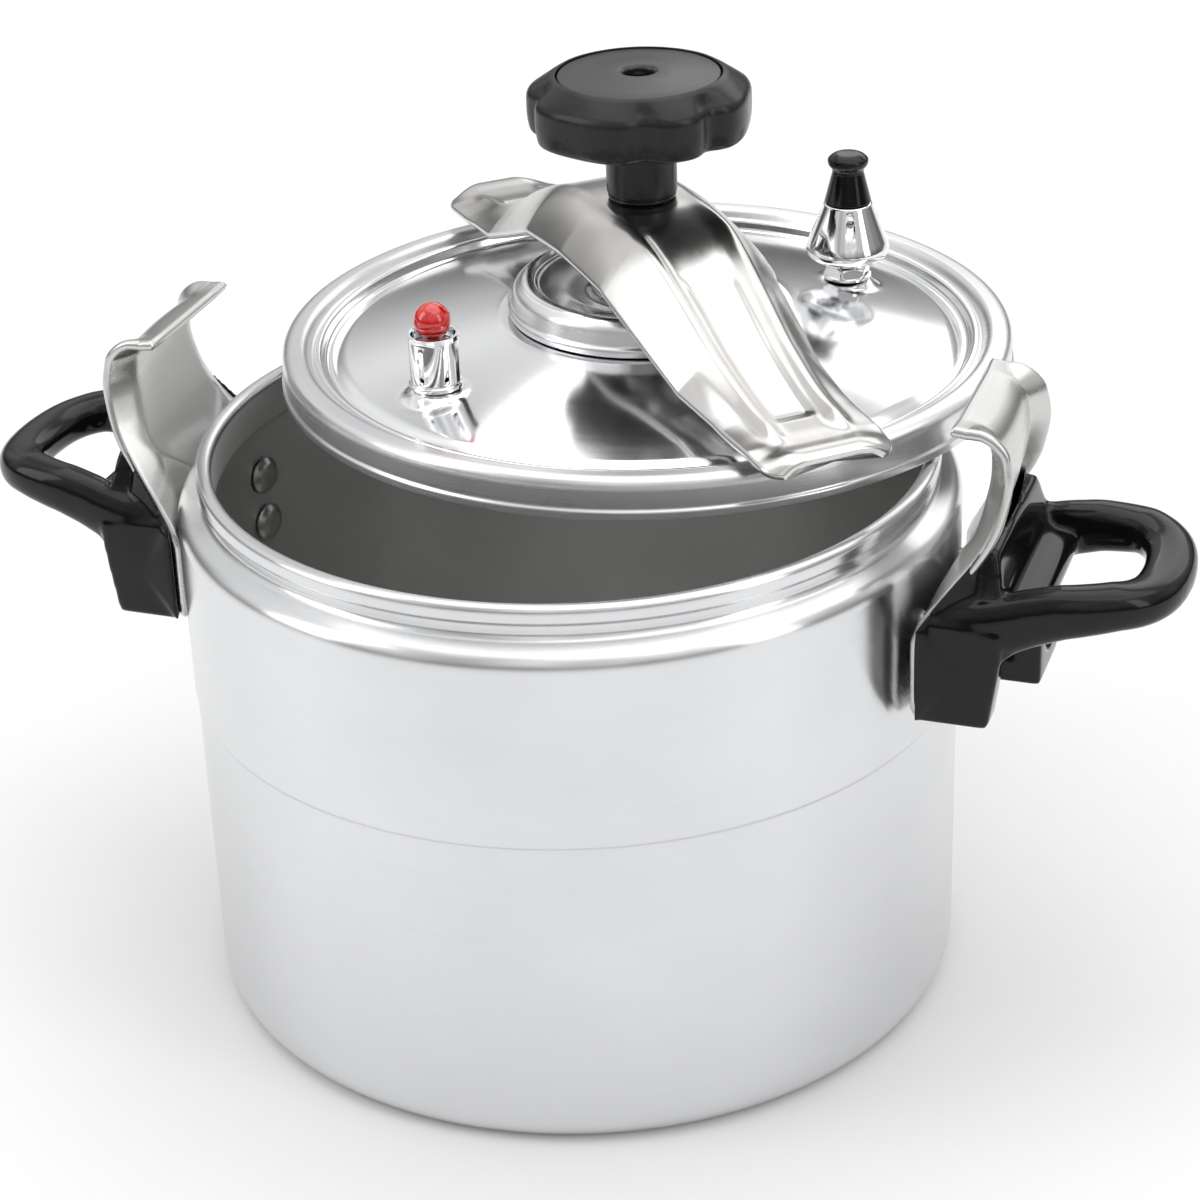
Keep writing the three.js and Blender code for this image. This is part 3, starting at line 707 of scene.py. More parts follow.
class Side(Enum):
    """The two ends of the pot, with their turn about Z."""

    RIGHT = ("right", 0.0)
    LEFT = ("left", math.pi)

    @property
    def label(self) -> str:
        """The side's name."""
        return self.value[0]

    @property
    def turn(self) -> float:
        """The side's turn in radians."""
        return self.value[1]


@dataclass
class Lug:
    """A pressed lug: a foot round the wall, a leaning web with turned-out edges and a hooked lip."""

    thickness: float = 3.0
    lip_x: float = 119.0
    flange_reach: float = 8.5
    crease_round: float = 0.012
    dart_depth: float = 1.1
    crease_depth: float = 0.5
    web: tuple = ((116.9, 111), (116.9, 124), (116.9, 136), (118.4, 145), (123, 156), (128, 167),
                  (130.3, 178), (130.4, 185), (129.6, 189.1), (127.2, 191.5), (124.9, 192.4), (119, 193.6))
    half_widths: tuple = ((111, 33.5), (114, 35.4), (117, 36), (140, 36), (162, 31), (178, 28), (194, 25.5))
    flange_out: tuple = ((111, 0), (136, 0), (142, 1.6), (148, 3.6), (159, 5.8), (171, 7.2), (182, 7.4),
                         (188, 6.4), (191, 3.6), (192.4, 1.2), (194, 0))

    def face(self) -> Array:
        """The outer face.

        Each row is the web's profile radius r at one height. Across it, y goes over the half width, and
        the point lies on the circle of radius r. Within one reach of either edge the point moves out
        along the profile's normal, by the flange's depth there times a straight rise with a small
        rounding where it starts. A dart above the neck swells outwards between two straight creases
        that meet at its foot. The lip's last rows run to one straight edge.
        """
        line = curve_through(self.web, 140)
        radius, z = line[:, 0], line[:, 1]
        low, high = np.array(self.half_widths, float).T
        half = np.interp(z, low, high)
        t = spaced(-1, 1, 60, self.thickness / 2 / 30)
        y = half[:, None] * t
        slope = np.gradient(line, axis=0)
        slope /= np.linalg.norm(slope, axis=1, keepdims=True)
        heights, outs = np.array(self.flange_out, float).T
        past = (np.abs(y) - (half[:, None] - self.flange_reach)) / self.flange_reach
        near_edge = (past + np.sqrt(past ** 2 + self.crease_round)) / 2
        depth = np.interp(z, heights, outs)[:, None] * near_edge
        opening = 24 * ease(z, 138, 166)[:, None]
        inset = opening - np.abs(y)
        dart_span = ease(z, 137, 150)[:, None] * (1 - ease(z, 150, 176)[:, None])
        crease_span = ease(z, 140, 148)[:, None] * (1 - ease(z, 158, 172)[:, None])
        dart = ease(inset, 0, 5.0) * dart_span
        crease = (ease(inset, -1.2, 1.2) - ease(inset, 1.2, 4.0)) * crease_span
        depth = depth + self.dart_depth * dart + self.crease_depth * crease
        r = radius[:, None] + depth * slope[:, 1:2]
        x = np.sqrt(np.maximum(r ** 2 - y ** 2, 0))
        lip = ease(z, 191.5, 193.6)[:, None] * (radius < 127)[:, None]
        edge = x[-1:]
        x = x + lip * (self.lip_x - edge)
        return np.stack([x, y, np.repeat(z[:, None], len(t), 1) - depth * slope[:, 0:1]], -1)

    def build(self, side: Side) -> None:
        """Makes one lug."""
        surface = sheet(self.face(), self.thickness)
        piece = Piece(f"lug_plate_{side.label}", "pot", "pressed_steel", [f"lug_{side.label}"])
        place = Place(turn=side.turn)
        metal = PRESSED.material((math.cos(side.turn) * 0.12, 0, 0), math.pi / 2)
        piece.skin(surface, place, metal)


@dataclass
class Rivet:
    """A rivet through the lug and the wall, with a domed head inside the pot and a flat one outside."""

    shank_r: float = 3.0
    head_r: float = 5.9
    dome: float = 2.8
    wall_r: float = 112.0
    outer: float = 118.9
    turn_deg: float = 10.4
    heights: tuple = (118.2, 134.4)

    def build(self, side: Side) -> None:
        """Makes one side's four rivets, square on the wall."""
        wall = self.wall_r
        profile = outline([
            (0, wall - self.dome, 0), (4.0, wall - self.dome + 0.2, 2.2), (self.head_r, wall - 1.0, 0.6),
            (self.head_r, wall - 0.2, 0.2), (self.shank_r, wall - 0.2, 0), (self.shank_r, self.outer, 0),
            (4.6, self.outer, 0.2), (4.5, self.outer + 1, 0.5), (0, self.outer + 1.8, 0)])
        spots = [(turn, z) for z in self.heights for turn in (-self.turn_deg, self.turn_deg)]
        for number, (turn, z) in enumerate(spots, 1):
            surface = turned(profile, 56)
            surface.points = lying_on_x(surface.points) + np.array([0, 0, z])
            name = f"rivet_{side.label}_{number}"
            place = Place(turn=side.turn + math.radians(turn))
            centre = place.put(np.array([[wall, 0, z]]))[0]
            piece = Piece(name, "pot", "zinc_steel", [f"lug_rivet_{side.label}_{number}"])
            piece.skin(surface, place, HEADS.material(centre))


# ---- Handles -----------------------------------------------------------------------------------
@dataclass
class Handle:
    """A moulded loop handle with a saddle against the lug, two legs and a screw boss between them."""

    clear: float = 0.9
    stud_z: float = 128.5
    socket_r: float = 7.4
    socket_floor: float = 136.0
    leg_wide: float = 10.4
    leg_lows: tuple = (-37.3, 26.9)
    cell: float = 0.85
    web: tuple = ((111, 118.8), (136, 118.8), (142, 119.4), (148, 121.4), (156, 124.9), (167, 129.9),
                  (180, 132.3))
    flange: tuple = ((111, 0), (138, 0), (140, 118.6), (148, 123), (159, 130), (171, 136), (182, 138))

    def keep_out(self, points: Array) -> Array:
        """Points pushed out level, away from the pot's axis, until they clear the lug's outer face."""
        z = points[:, 2]
        web_z, web_r = np.array(self.web, float).T
        flange_z, flange_r = np.array(self.flange, float).T
        limit = np.maximum(np.interp(z, web_z, web_r), np.interp(z, flange_z, flange_r)) + self.clear
        radius = np.hypot(points[:, 0], points[:, 1])
        grow = np.maximum(limit / radius, 1)
        return points * np.stack([grow, grow, np.ones_like(grow)], 1)

    def block(self, profile: Sequence[Corner], low: float, high: float, pinch: float = 0.0) -> Skin:
        """A moulded block: an X, Z profile carried along Y, drawn in by pinch at its two ends."""
        section = outline([*profile, profile[0]], steps=4)[:-1]
        section = curve_through(np.vstack([section, section[:1]]), 140)[:-1]
        y = spaced(low, high, 30, 1.5)
        middle = section.mean(0)
        near = np.minimum(y - low, high - y)
        draw = 1 - pinch * (1 - ease(near, 0, 3.0))
        flat = middle + (section - middle) * draw[:, None, None]
        points = np.stack([flat[..., 0], np.repeat(y[:, None], len(section), 1), flat[..., 1]], -1)
        shape = points.shape
        points = self.keep_out(points.reshape(-1, 3)).reshape(shape)
        return Skin(points)

    def loop(self) -> Skin:
        """The loop: a bar deep and narrow at the saddle, low and wide at its outer end."""
        half = [(119, -31), (132, -30.8), (144, -29), (157, -27.0), (168, -22.8), (174.4, -14.0), (176.4, 0)]
        plan = curve_through([*half, *[(x, -y) for x, y in half[-2::-1]]], 150)
        x = plan[:, 0]
        stations = [121, 137, 144, 152, 166, 177]
        top = np.interp(x, stations, [147.0, 150.4, 152.4, 154.0, 154.8, 153.2])
        foot = np.interp(x, stations, [132.5, 133.4, 136.4, 139.2, 142.2, 142.0])
        wide = np.interp(x, [121, 140, 160, 177], [5.6, 6.2, 6.8, 7.4])
        path = np.column_stack([plan, (top + foot) / 2])
        return tube(path, wide, (top - foot) / 2, around=56, square=2.5)

    def shape(self) -> tuple[Array, list]:
        """The whole handle, melted together, clear of the lug, with its nut's socket."""
        saddle = self.block([(110, 131.6, 0), (136.5, 131.6, 3), (142.5, 135.4, 3), (147.4, 141.4, 3),
                             (145.6, 146.4, 3.4), (136.8, 147.0, 9), (133.8, 161.6, 1.4), (110, 161.8, 0)],
                            -35.8, 35.8, 0.02)
        height, ahead = saddle.points[..., 2], ease(saddle.points[..., 0], 136, 145)
        narrow = np.interp(height, [134, 144, 162], [1.0, 0.97, 0.74])
        saddle.points[..., 1] *= narrow * (1 - 0.16 * ahead)
        leg = [(108, 111.4, 0), (134.0, 111.4, 1.5), (135.6, 122, 4), (137, 132, 3), (137, 141, 2),
               (108, 141, 0)]
        legs = [self.block(leg, low, low + self.leg_wide) for low in self.leg_lows]
        boss = self.block([(108, 114, 0), (144, 114, 1.5), (144, 140, 3), (138, 146, 3), (108, 146, 0)],
                          -13, 13, 0.01)
        vertices, faces = fused([saddle, *legs, boss, self.loop()], self.cell, 9)
        off = np.hypot(vertices[:, 1], vertices[:, 2] - self.stud_z)
        inside = 1 - ease(off, self.socket_r - 0.5, self.socket_r + 0.5)
        sink = inside * (vertices[:, 0] > self.socket_floor)
        vertices[:, 0] += (self.socket_floor - vertices[:, 0]) * sink
        return outward(self.keep_out(vertices), faces)

    def build(self) -> None:
        """Makes both handles and dresses their screws."""
        vertices, faces = self.shape()
        for side in Side:
            piece = Piece(f"handle_grip_{side.label}", "pot", "black_resin", [f"handle_{side.label}"])
            place = Place(turn=side.turn)
            piece.build(place.put(vertices), faces, [BLACK.material((0, 0, 0.14))])
            centre = place.put(np.array([[140, 0, self.stud_z]]))[0]
            metal = ZINC.material(centre)
            for part in ("stud", "washer", "nut"):
                dress(f"handle_{part}_{side.label}", metal)


def dress(node: str, material: bpy.types.Material) -> None:
    """Gives a frame node that stays a finish, in place of the ones it came with."""
    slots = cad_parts[node].data.materials
    slots.clear()
    slots.append(material)


# ---- Lid ---------------------------------------------------------------------------------------
@dataclass
class Spot:
    """The lid's axis and level, read from the frame."""

    axis: Array = field(default_factory=lambda: middle_of("knob_cap"))
    skirt: float = 9.0

    def base(self) -> tuple[float, float, float]:
        """The axis at the height of the lid's widest circle."""
        return float(self.axis[0]), float(self.axis[1]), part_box("lid_shell")[0].z / MM + self.skirt


@dataclass
class Lid:
    """The pressed lid: skirt, wide bead, channel, narrow ring, shallow cone and two valve pads."""

    rim_r: float = 111.5
    dome_r: float = 96.0
    dome_z: float = -1.0
    seat_r: float = 44.0
    seat_z: float = 9.0
    skirt: float = 9.0
    gauge: float = 2.2
    bore_r: float = 8.5
    pad_r: float = 9.0
    pad_stand: float = 2.0
    columns: int = 320

    def slope(self, r: Union[float, Array]) -> Union[float, Array]:
        """Height of the cone at a radius: a straight fall from the seat to the dome's edge."""
        return self.seat_z + (self.dome_z - self.seat_z) * (r - self.seat_r) / (self.dome_r - self.seat_r)

    def face(self) -> Array:
        """The upper profile, from the skirt in to the bore."""
        swell = 0.45
        cone = [(r, self.slope(r) + swell * math.sin(math.pi * (self.dome_r - r) / 52), 0)
                for r in np.linspace(93, 46, 30)]
        return outline([
            (self.rim_r - self.gauge + 0.4, -self.skirt, 0), (self.rim_r + 0.3, -self.skirt, 0.5),
            (self.rim_r + 0.3, -6.6, 0.4), (self.rim_r - 0.4, -6.0, 0.4), (self.rim_r - 0.2, 3.0, 5.6),
            (104.2, 3.1, 2.2), (102.5, 0.2, 0.5), (101.6, 0.0, 0.3), (101.0, 1.2, 0.5),
            (99.4, 1.0, 0.7), (98.2, -2.2, 1.0), (96.2, -2.5, 0.8),
            *cone, (self.seat_r + 0.6, self.seat_z, 0.4), (self.bore_r, self.seat_z, 0)], steps=7)

    def under(self) -> Array:
        """The lower profile, from the bore out to the skirt."""
        g = self.gauge
        cone = [(r, self.slope(r) - g, 0) for r in np.linspace(46, 92, 16)]
        return outline([
            (self.bore_r, self.seat_z - g, 0), (self.seat_r, self.seat_z - g, 0.6), *cone,
            (96.6, -4.6, 1.2), (100, -3.6, 0.8), (101.6, -1.6, 0.8), (104, 0.4, 1.0), (107.4, 0.0, 1.6),
            (self.rim_r - g, -2.8, 1.5), (self.rim_r - g + 0.4, -self.skirt, 0)], steps=5)

    def shell(self, pads: Sequence[Array]) -> Skin:
        """The sheet, with a flat pad pressed in it at each valve.

        Well within a pad's radius the face lies level at its middle's height plus or minus the pad's
        stand. Across the pad's edge it eases back into the cone.
        """
        section = np.vstack([self.face(), self.under()])
        surface = turned(section, self.columns, wrap=True)
        upper = (np.arange(len(section)) < len(self.face()))[:, None]
        p = surface.points
        for middle in pads:
            off = np.hypot(p[..., 0] - middle[0], p[..., 1] - middle[1])
            level = self.slope(float(np.hypot(middle[0], middle[1])))
            inside = 1 - ease(off, self.pad_r - 2.6, self.pad_r + 1.2)
            flat = np.where(upper, level + self.pad_stand, level - self.gauge - self.pad_stand)
            p[..., 2] += (flat - p[..., 2]) * inside
        return surface

    def build(self, base: Sequence[float], pads: Sequence[Array]) -> None:
        """Makes the lid's sheet and its gasket."""
        place = Place(base)
        axis = place.metres()
        vertices, faces = self.shell(pads).mesh_data()
        radius = np.array([math.hypot(*vertices[face[0]][:2]) for face in faces])
        Piece("lid_cover", "lid", "polished_aluminium", ["lid_shell"]).build(
            place.put(vertices), faces, [LID_METAL.material(axis), BRUSHED.material(axis)],
            radius > self.dome_r + 5.2)
        seal = outline([(102.4, -6.2, 0), (108.3, -6.2, 0.8), (108.3, -3, 1.0), (106.6, -0.6, 1.0),
                        (104, -0.6, 1.0), (102.4, -3, 0.8), (102.4, -6.2, 0)])
        Piece("lid_seal", "lid", "grey_rubber", ["lid_gasket"]).skin(
            turned(seal[:-1], 192, wrap=True), place, RUBBER.material(axis))


@dataclass
class Boss:
    """The turned boss on the lid's seat, with a bevelled rim, a dished top and the spindle's pocket."""

    radius: float = 42.0
    height: float = 10.5
    pocket_r: float = 13.4
    seat: float = 9.3

    def build(self, base: Sequence[float]) -> None:
        """Makes the boss and the ring in its pocket."""
        top = self.seat + self.height
        r = self.radius
        profile = outline([
            (0, -2, 0), (8, -2, 0.6), (8, self.seat, 0), (r - 0.6, self.seat, 0.5), (r, self.seat + 2.4, 0.7),
            (r - 1.2, self.seat + 3.2, 0.6), (r - 2.2, top - 2.2, 1.2), (r - 5.2, top, 1.4),
            (r - 8.6, top - 0.5, 0.7), (r - 9.6, top - 1.7, 0.7), (r - 19, top - 4.2, 1.4),
            (self.pocket_r + 4.4, top - 4.7, 0.8), (self.pocket_r + 2.8, top - 3.9, 0.6),
            (self.pocket_r, top - 4.0, 0.7), (self.pocket_r, self.seat + 1.6, 0.8), (0, self.seat + 1.6, 0)])
        place = Place(base)
        axis = place.metres()
        vertices, faces = turned(profile, 192).mesh_data()
        radius = np.array([math.hypot(*vertices[face[0]][:2]) for face in faces])
        Piece("boss_block", "lid", "polished_aluminium", ["lid_boss"]).build(
            place.put(vertices), faces, [LID_METAL.material(axis), BRUSHED.material(axis)], radius > r - 4.0)
        low = self.seat + 5.0
        ring = outline([(6.8, low, 0.3), (13.1, low, 0.4), (13.1, low + 2.2, 0.4), (6.8, low + 2.2, 0.4),
                        (6.8, low, 0.3)])
        Piece("boss_keeper", "lid", "zinc_steel", ["boss_foot_ring"]).skin(
            turned(ring[:-1], 96, wrap=True), place, ZINC.material(axis))
        for node in ("boss_washer", "boss_nut"):
            dress(node, ZINC.material(axis))


# ---- Spindle, knob and bridge ------------------------------------------------------------------
@dataclass
class Spindle:
    """The threaded spindle with its round foot, and the bush that it runs in."""

    radius: float = 6.0
    pitch: float = 2.0
    thread: float = 0.45
    foot_z: float = 11.2
    top_z: float = 75.5
    bush_z: float = 40.0

    def threaded(self, profile: Array, angles: Array) -> Array:
        """Radius less a thread: its depth times a rounded saw of height over pitch less turns."""
        turns = np.mod(profile[:, 1:] / self.pitch - angles / (2 * np.pi), 1.0)
        groove = 0.5 - 0.5 * np.cos(2 * np.pi * turns)
        z = profile[:, 1:]
        share = ease(z, self.foot_z + 3.6, self.foot_z + 5.6) * (1 - ease(z, self.top_z - 4, self.top_z - 2))
        return profile[:, :1] - self.thread * groove * share

    def build(self, base: Sequence[float]) -> None:
        """Makes the spindle, which turns with the knob, and the bush, which rises on it."""
        place = Place(base)
        axis = place.metres()
        foot = outline([(0, self.foot_z, 0), (9.6, self.foot_z, 0.6), (9.6, self.foot_z + 2.6, 0.5),
                        (self.radius, self.foot_z + 2.6, 0.3), (self.radius, self.foot_z + 3.4, 0)])
        rise = np.arange(self.foot_z + 3.5, self.top_z - 1.0, self.pitch / 10)
        rod = np.stack([np.full(len(rise), self.radius), rise], 1)
        head = np.array([
            [self.radius - 0.8, self.top_z - 0.2], [self.radius - 1.6, self.top_z], [0, self.top_z]])
        Piece("spindle_screw", "knob", "zinc_steel", ["spindle"]).skin(
            turned(np.vstack([foot, rod, head]), 64, self.threaded), place, ZINC.material(axis))
        low, high = self.bush_z - 5, self.bush_z + 3.9
        bush = outline([(6.3, low, 0.2), (13, low, 0.8), (13, self.bush_z, 0.4), (9, self.bush_z, 0.3),
                        (9, high, 0.5), (6.3, high, 0.2), (6.3, low, 0.2)])
        Piece("bridge_nut", "bush", "zinc_steel", ["bridge_bush"]).skin(
            turned(bush[:-1], 96, wrap=True), place, ZINC.material(axis))


@dataclass
class Knob:
    """The lobed knob on its round stem, with a recessed cover that has a hole for the spindle's end."""

    grip_r: float = 33.8
    hollow: float = 3.2
    hollow_span_deg: float = 8.5
    hollows_deg: tuple = (50, 90, 170, 210, 290, 330)
    flat: float = 0.9
    flats_deg: tuple = (10, 130, 250)
    low: float = 65.0
    top: float = 83.5
    stem_r: float = 10.6
    stem_low: float = 45.0
    bore_r: float = 6.4
    cover_r: float = 24.2
    hole_r: float = 4.7

    def dip(self, angles: Array, middles: Sequence[float], span: float) -> Array:
        """A row of bell-shaped dips round the axis, each one deep at its middle."""
        degrees = np.degrees(angles)[:, None]
        apart = np.abs((degrees - np.array(middles, float) + 540) % 360 - 180)
        return np.exp(-(apart / span) ** 2).sum(1)

    def lobed(self, profile: Array, angles: Array) -> Array:
        """Radius less bell-shaped hollows between wide, slightly flattened and narrow lobes.

        The hollows fade out towards the cover and are at their deepest on the grip's edge.
        """
        cut = self.hollow * self.dip(angles, self.hollows_deg, self.hollow_span_deg)
        cut = cut + self.flat * self.dip(angles, self.flats_deg, 1.8 * self.hollow_span_deg)
        share = ease(profile[:, :1], 25.0, self.grip_r - 1.0)
        return profile[:, :1] - cut * share

    def build(self, base: Sequence[float]) -> None:
        """Makes the knob and its cover."""
        r, stem, top, foot = self.grip_r, self.stem_r, self.top, self.stem_low
        profile = outline([
            (self.bore_r, foot, 0.3), (stem - 0.5, foot, 0.4), (stem - 0.3, foot + 1.0, 0.2),
            (stem - 0.8, foot + 1.3, 0.2), (stem - 0.8, foot + 1.7, 0.2), (stem, foot + 2.0, 0.2),
            (stem, self.low + 0.6, 1.2), (20, self.low + 0.1, 2),
            (r - 1.0, self.low, 2.0), (r, self.low + 5, 3), (r - 0.1, top - 5.8, 2.6),
            (r - 3.4, top - 3.4, 3.2), (26.4, top - 1.0, 2.4), (24.7, top - 0.5, 0.4),
            (24.5, top - 3.4, 0.4), (15, top - 3.4, 0), (self.bore_r, top - 3.4, 0.3),
            (self.bore_r, foot, 0.3)], steps=8)
        place = Place(base)
        axis = place.metres()
        Piece("knob_grip", "knob", "black_resin", ["knob"]).skin(
            turned(profile[:-1], 288, self.lobed, wrap=True), place, SATIN.material(axis))
        hole, rim = self.hole_r, self.cover_r
        cover = outline([
            (hole, top - 3.1, 0.2), (rim, top - 3.1, 0.2), (rim, top - 1.0, 0.5), (20.5, top - 0.5, 3.0),
            (9, top, 3), (hole + 1.0, top, 0.5), (hole, top - 0.9, 0.4), (hole, top - 3.1, 0.2)])
        Piece("knob_cover", "knob", "black_resin", ["knob_cap"]).skin(
            turned(cover[:-1], 160, wrap=True), place, COVER.material(axis))


@dataclass
class Bridge:
    """The pressed clamp bridge: an arch with two ridges, sunk panels, turned-down edges and rolled tips."""

    turn_deg: float = -47.3
    thickness: float = 2.6
    crest: tuple = ((0, 44.5), (16, 44.0), (32, 40.4), (52, 31), (72, 20.7), (92, 13.4), (106, 11.0),
                    (114, 10.9), (120, 11.5), (123.6, 10.9), (124.9, 9.2))
    hem: tuple = ((0, 31), (28, 28.6), (48, 20.8), (72, 12.0), (96, 9.9), (111, 9.6), (116, 8.4),
                  (125.5, 7.6))
    half_widths: tuple = ((0, 28), (30, 27.3), (60, 24.4), (90, 21.4), (126, 20.2))
    fall_start: float = 0.46
    fall_power: float = 1.7
    reach: float = 125.2
    near_corner_r: float = 7.0
    far_corner_r: float = 15.0

    def face(self) -> Array:
        """The upper face.

        The crest line gives the place and height of each row. Across the row y goes over the half
        width; from nearly half of it the sheet falls away towards the hem as a power of the distance.
        Two ridges stand up where the fall starts, over each arm, higher on the near one, and a panel
        between them is sunk. The half width follows a quarter circle at each tip, which rounds its
        corners, more at the far one.
        """
        knots = [(-x, z) for x, z in self.crest[:0:-1]] + list(self.crest)
        line = curve_through(knots, 330)
        x, z = np.abs(line[:, 0])[:, None], line[:, 1:]
        near = line[:, :1] > 0
        corner_r = np.where(near, self.near_corner_r, self.far_corner_r)
        round_off = np.clip(x - (self.reach - corner_r), 0, corner_r)
        half = np.interp(x, *np.array(self.half_widths, float).T)
        half = half - corner_r + np.sqrt(corner_r ** 2 - round_off ** 2)
        t = spaced(-1, 1, 84, self.thickness / 2 / 24)[None]
        a = np.abs(t)
        fall = z - np.interp(x, *np.array(self.hem, float).T)
        fall = np.maximum(fall, 0.2)
        down = np.maximum((a - self.fall_start) / (1 - self.fall_start), 0) ** self.fall_power
        arm = np.where(near, 2.5 * ease(x, 4, 40), 1.4 * ease(x, 24, 60)) * (1 - ease(x, 104, 114))
        ridge = arm * np.exp(-((a - 0.5) / 0.12) ** 2)
        panel = 1.5 * ease(x, 42, 50) * (1 - ease(x, 96, 102)) * (1 - ease(a, 0.22, 0.34))
        corner = 0.9 * ease(x, 116, 124) * ease(a, 0.72, 1.0)
        height = z - fall * down + ridge - panel - corner
        wide = np.repeat(np.sign(line[:, :1]) * x, t.shape[1], 1)
        return np.stack([wide, half * t, height], -1)

    def build(self, base: Sequence[float]) -> None:
        """Makes the bridge."""
        place = Place(base, math.radians(self.turn_deg))
        surface = sheet(self.face(), self.thickness)
        metal = BUFFED.material(place.metres(), place.turn)
        Piece("bridge_arch", "bridge", "pressed_steel", ["bridge"]).skin(surface, place, metal)


# ---- Valves ------------------------------------------------------------------------------------
SHOULDER_RISE = 2.5
NUT_DROP = 4.7


def level_drill(radius: float, run: tuple[float, float], turn: float, height: float, columns: int) -> Skin:
    """A level bar that cuts a hole across the Z axis.

    Args:
        radius: of the hole.
        run: where the bar starts and ends along its own line, measured from the axis.
        turn: the line's direction, radians from X.
        height: of the bar's middle.
        columns: sides of the bar.

    Returns:
        The closed bar.
    """
    start, end = run
    drill = turned(np.array([[0, start], [radius, start], [radius, end], [0, end]], float), columns)
    laid = lying_on_x(drill.points)
    c, s = math.cos(turn), math.sin(turn)
    drill.points = np.stack([laid[..., 0] * c - laid[..., 1] * s, laid[..., 0] * s + laid[..., 1] * c,
                             laid[..., 2] + height], -1)
    return drill


@dataclass
class Vent:
    """The vent stem through the lid, with the weight that sits on it."""

    top: float = 24.0
    weight_low: float = 12.5
    lift_turns_deg: tuple = (20.0, 110.0)
    lift_hole_r: float = 1.3
    lift_hole_rise: float = 14.0

    def build(self, base: Sequence[float], level: float) -> None:
        """Makes the stem, its nut below, the chrome weight and the weight's black cap.

        Args:
            base: the vent's axis at the height of the lid's widest circle.
            level: height of the lid's cone at the vent.
        """
        place = Place(base)
        axis = place.metres()
        top = level + SHOULDER_RISE
        under = level - NUT_DROP
        stem = outline([
            (0, under - 9, 0), (4, under - 9, 0.4), (4, top, 0.2), (7.4, top, 0.1), (7.4, top + 0.7, 0.1),
            (6.6, top + 0.8, 0.1), (7.1, top + 1.4, 0.3), (7.1, top + 3.0, 0.3), (6.2, top + 3.8, 0.3),
            (3.6, top + 3.8, 0.3), (2.8, top + 5, 0.5), (2.8, self.top - 0.6, 0.3), (2.2, self.top, 0.2),
            (0, self.top, 0)])
        flats = hexagon(12.4)

        def hexed(profile: Array, angles: Array) -> Array:
            """The hexagon only between the stem's washer face and its shank."""
            z = profile[:, 1:]
            band = (z > top + 0.75) & (z < top + 3.9)
            return np.where(band, flats(profile, angles), profile[:, :1])

        Piece("vent_tube", "lid", "chrome_trim", ["vent_stem"]).skin(
            turned(stem, 144, hexed), place, CHROME.material(axis))
        dress("vent_seal", RUBBER.material(axis))
        dress("vent_nut", ZINC.material(axis))
        self.weight(place)

    def weight(self, place: Place) -> None:
        """The weight: a cone with two cross holes, bored from below, and a waisted cap."""
        axis = place.metres()
        z = self.weight_low
        cone = outline([
            (3.3, z + 11.8, 0.2), (3.3, z, 0.4), (10.0, z, 0.6), (12.5, z + 1.7, 1.0), (13.0, z + 3.9, 1.0),
            (12.5, z + 5.6, 1.0), (7.5, z + 18.1, 0.4), (7.0, z + 18.4, 0.2), (4.2, z + 18.4, 0.2),
            (4.2, z + 20.8, 0.3), (0, z + 21, 0)])
        body = turned(np.vstack([[0, z + 11.8], cone]), 128)
        drills = [level_drill(self.lift_hole_r, (-20, 20), math.radians(turn), z + self.lift_hole_rise, 28)
                  for turn in self.lift_turns_deg]
        vertices, faces = drilled(body, drills)
        Piece("weight_cone", "weight", "chrome_trim", ["weight_body"]).build(
            place.put(vertices), faces, [CHROME.material(axis)])
        low = z + 18.7
        cap = outline([
            (0, low + 2.6, 0), (4.6, low + 2.6, 0.2), (4.6, low, 0.2), (7.3, low, 0.4),
            (4.7, low + 10.2, 1.4), (6.2, low + 12.0, 0.8), (6.4, low + 13.6, 1.2), (4.6, low + 15.2, 1.4),
            (0, low + 15.6, 0)])
        Piece("weight_grip", "weight", "black_resin", ["weight_cap"]).skin(
            turned(cap, 96), place, BLACK.material(axis))


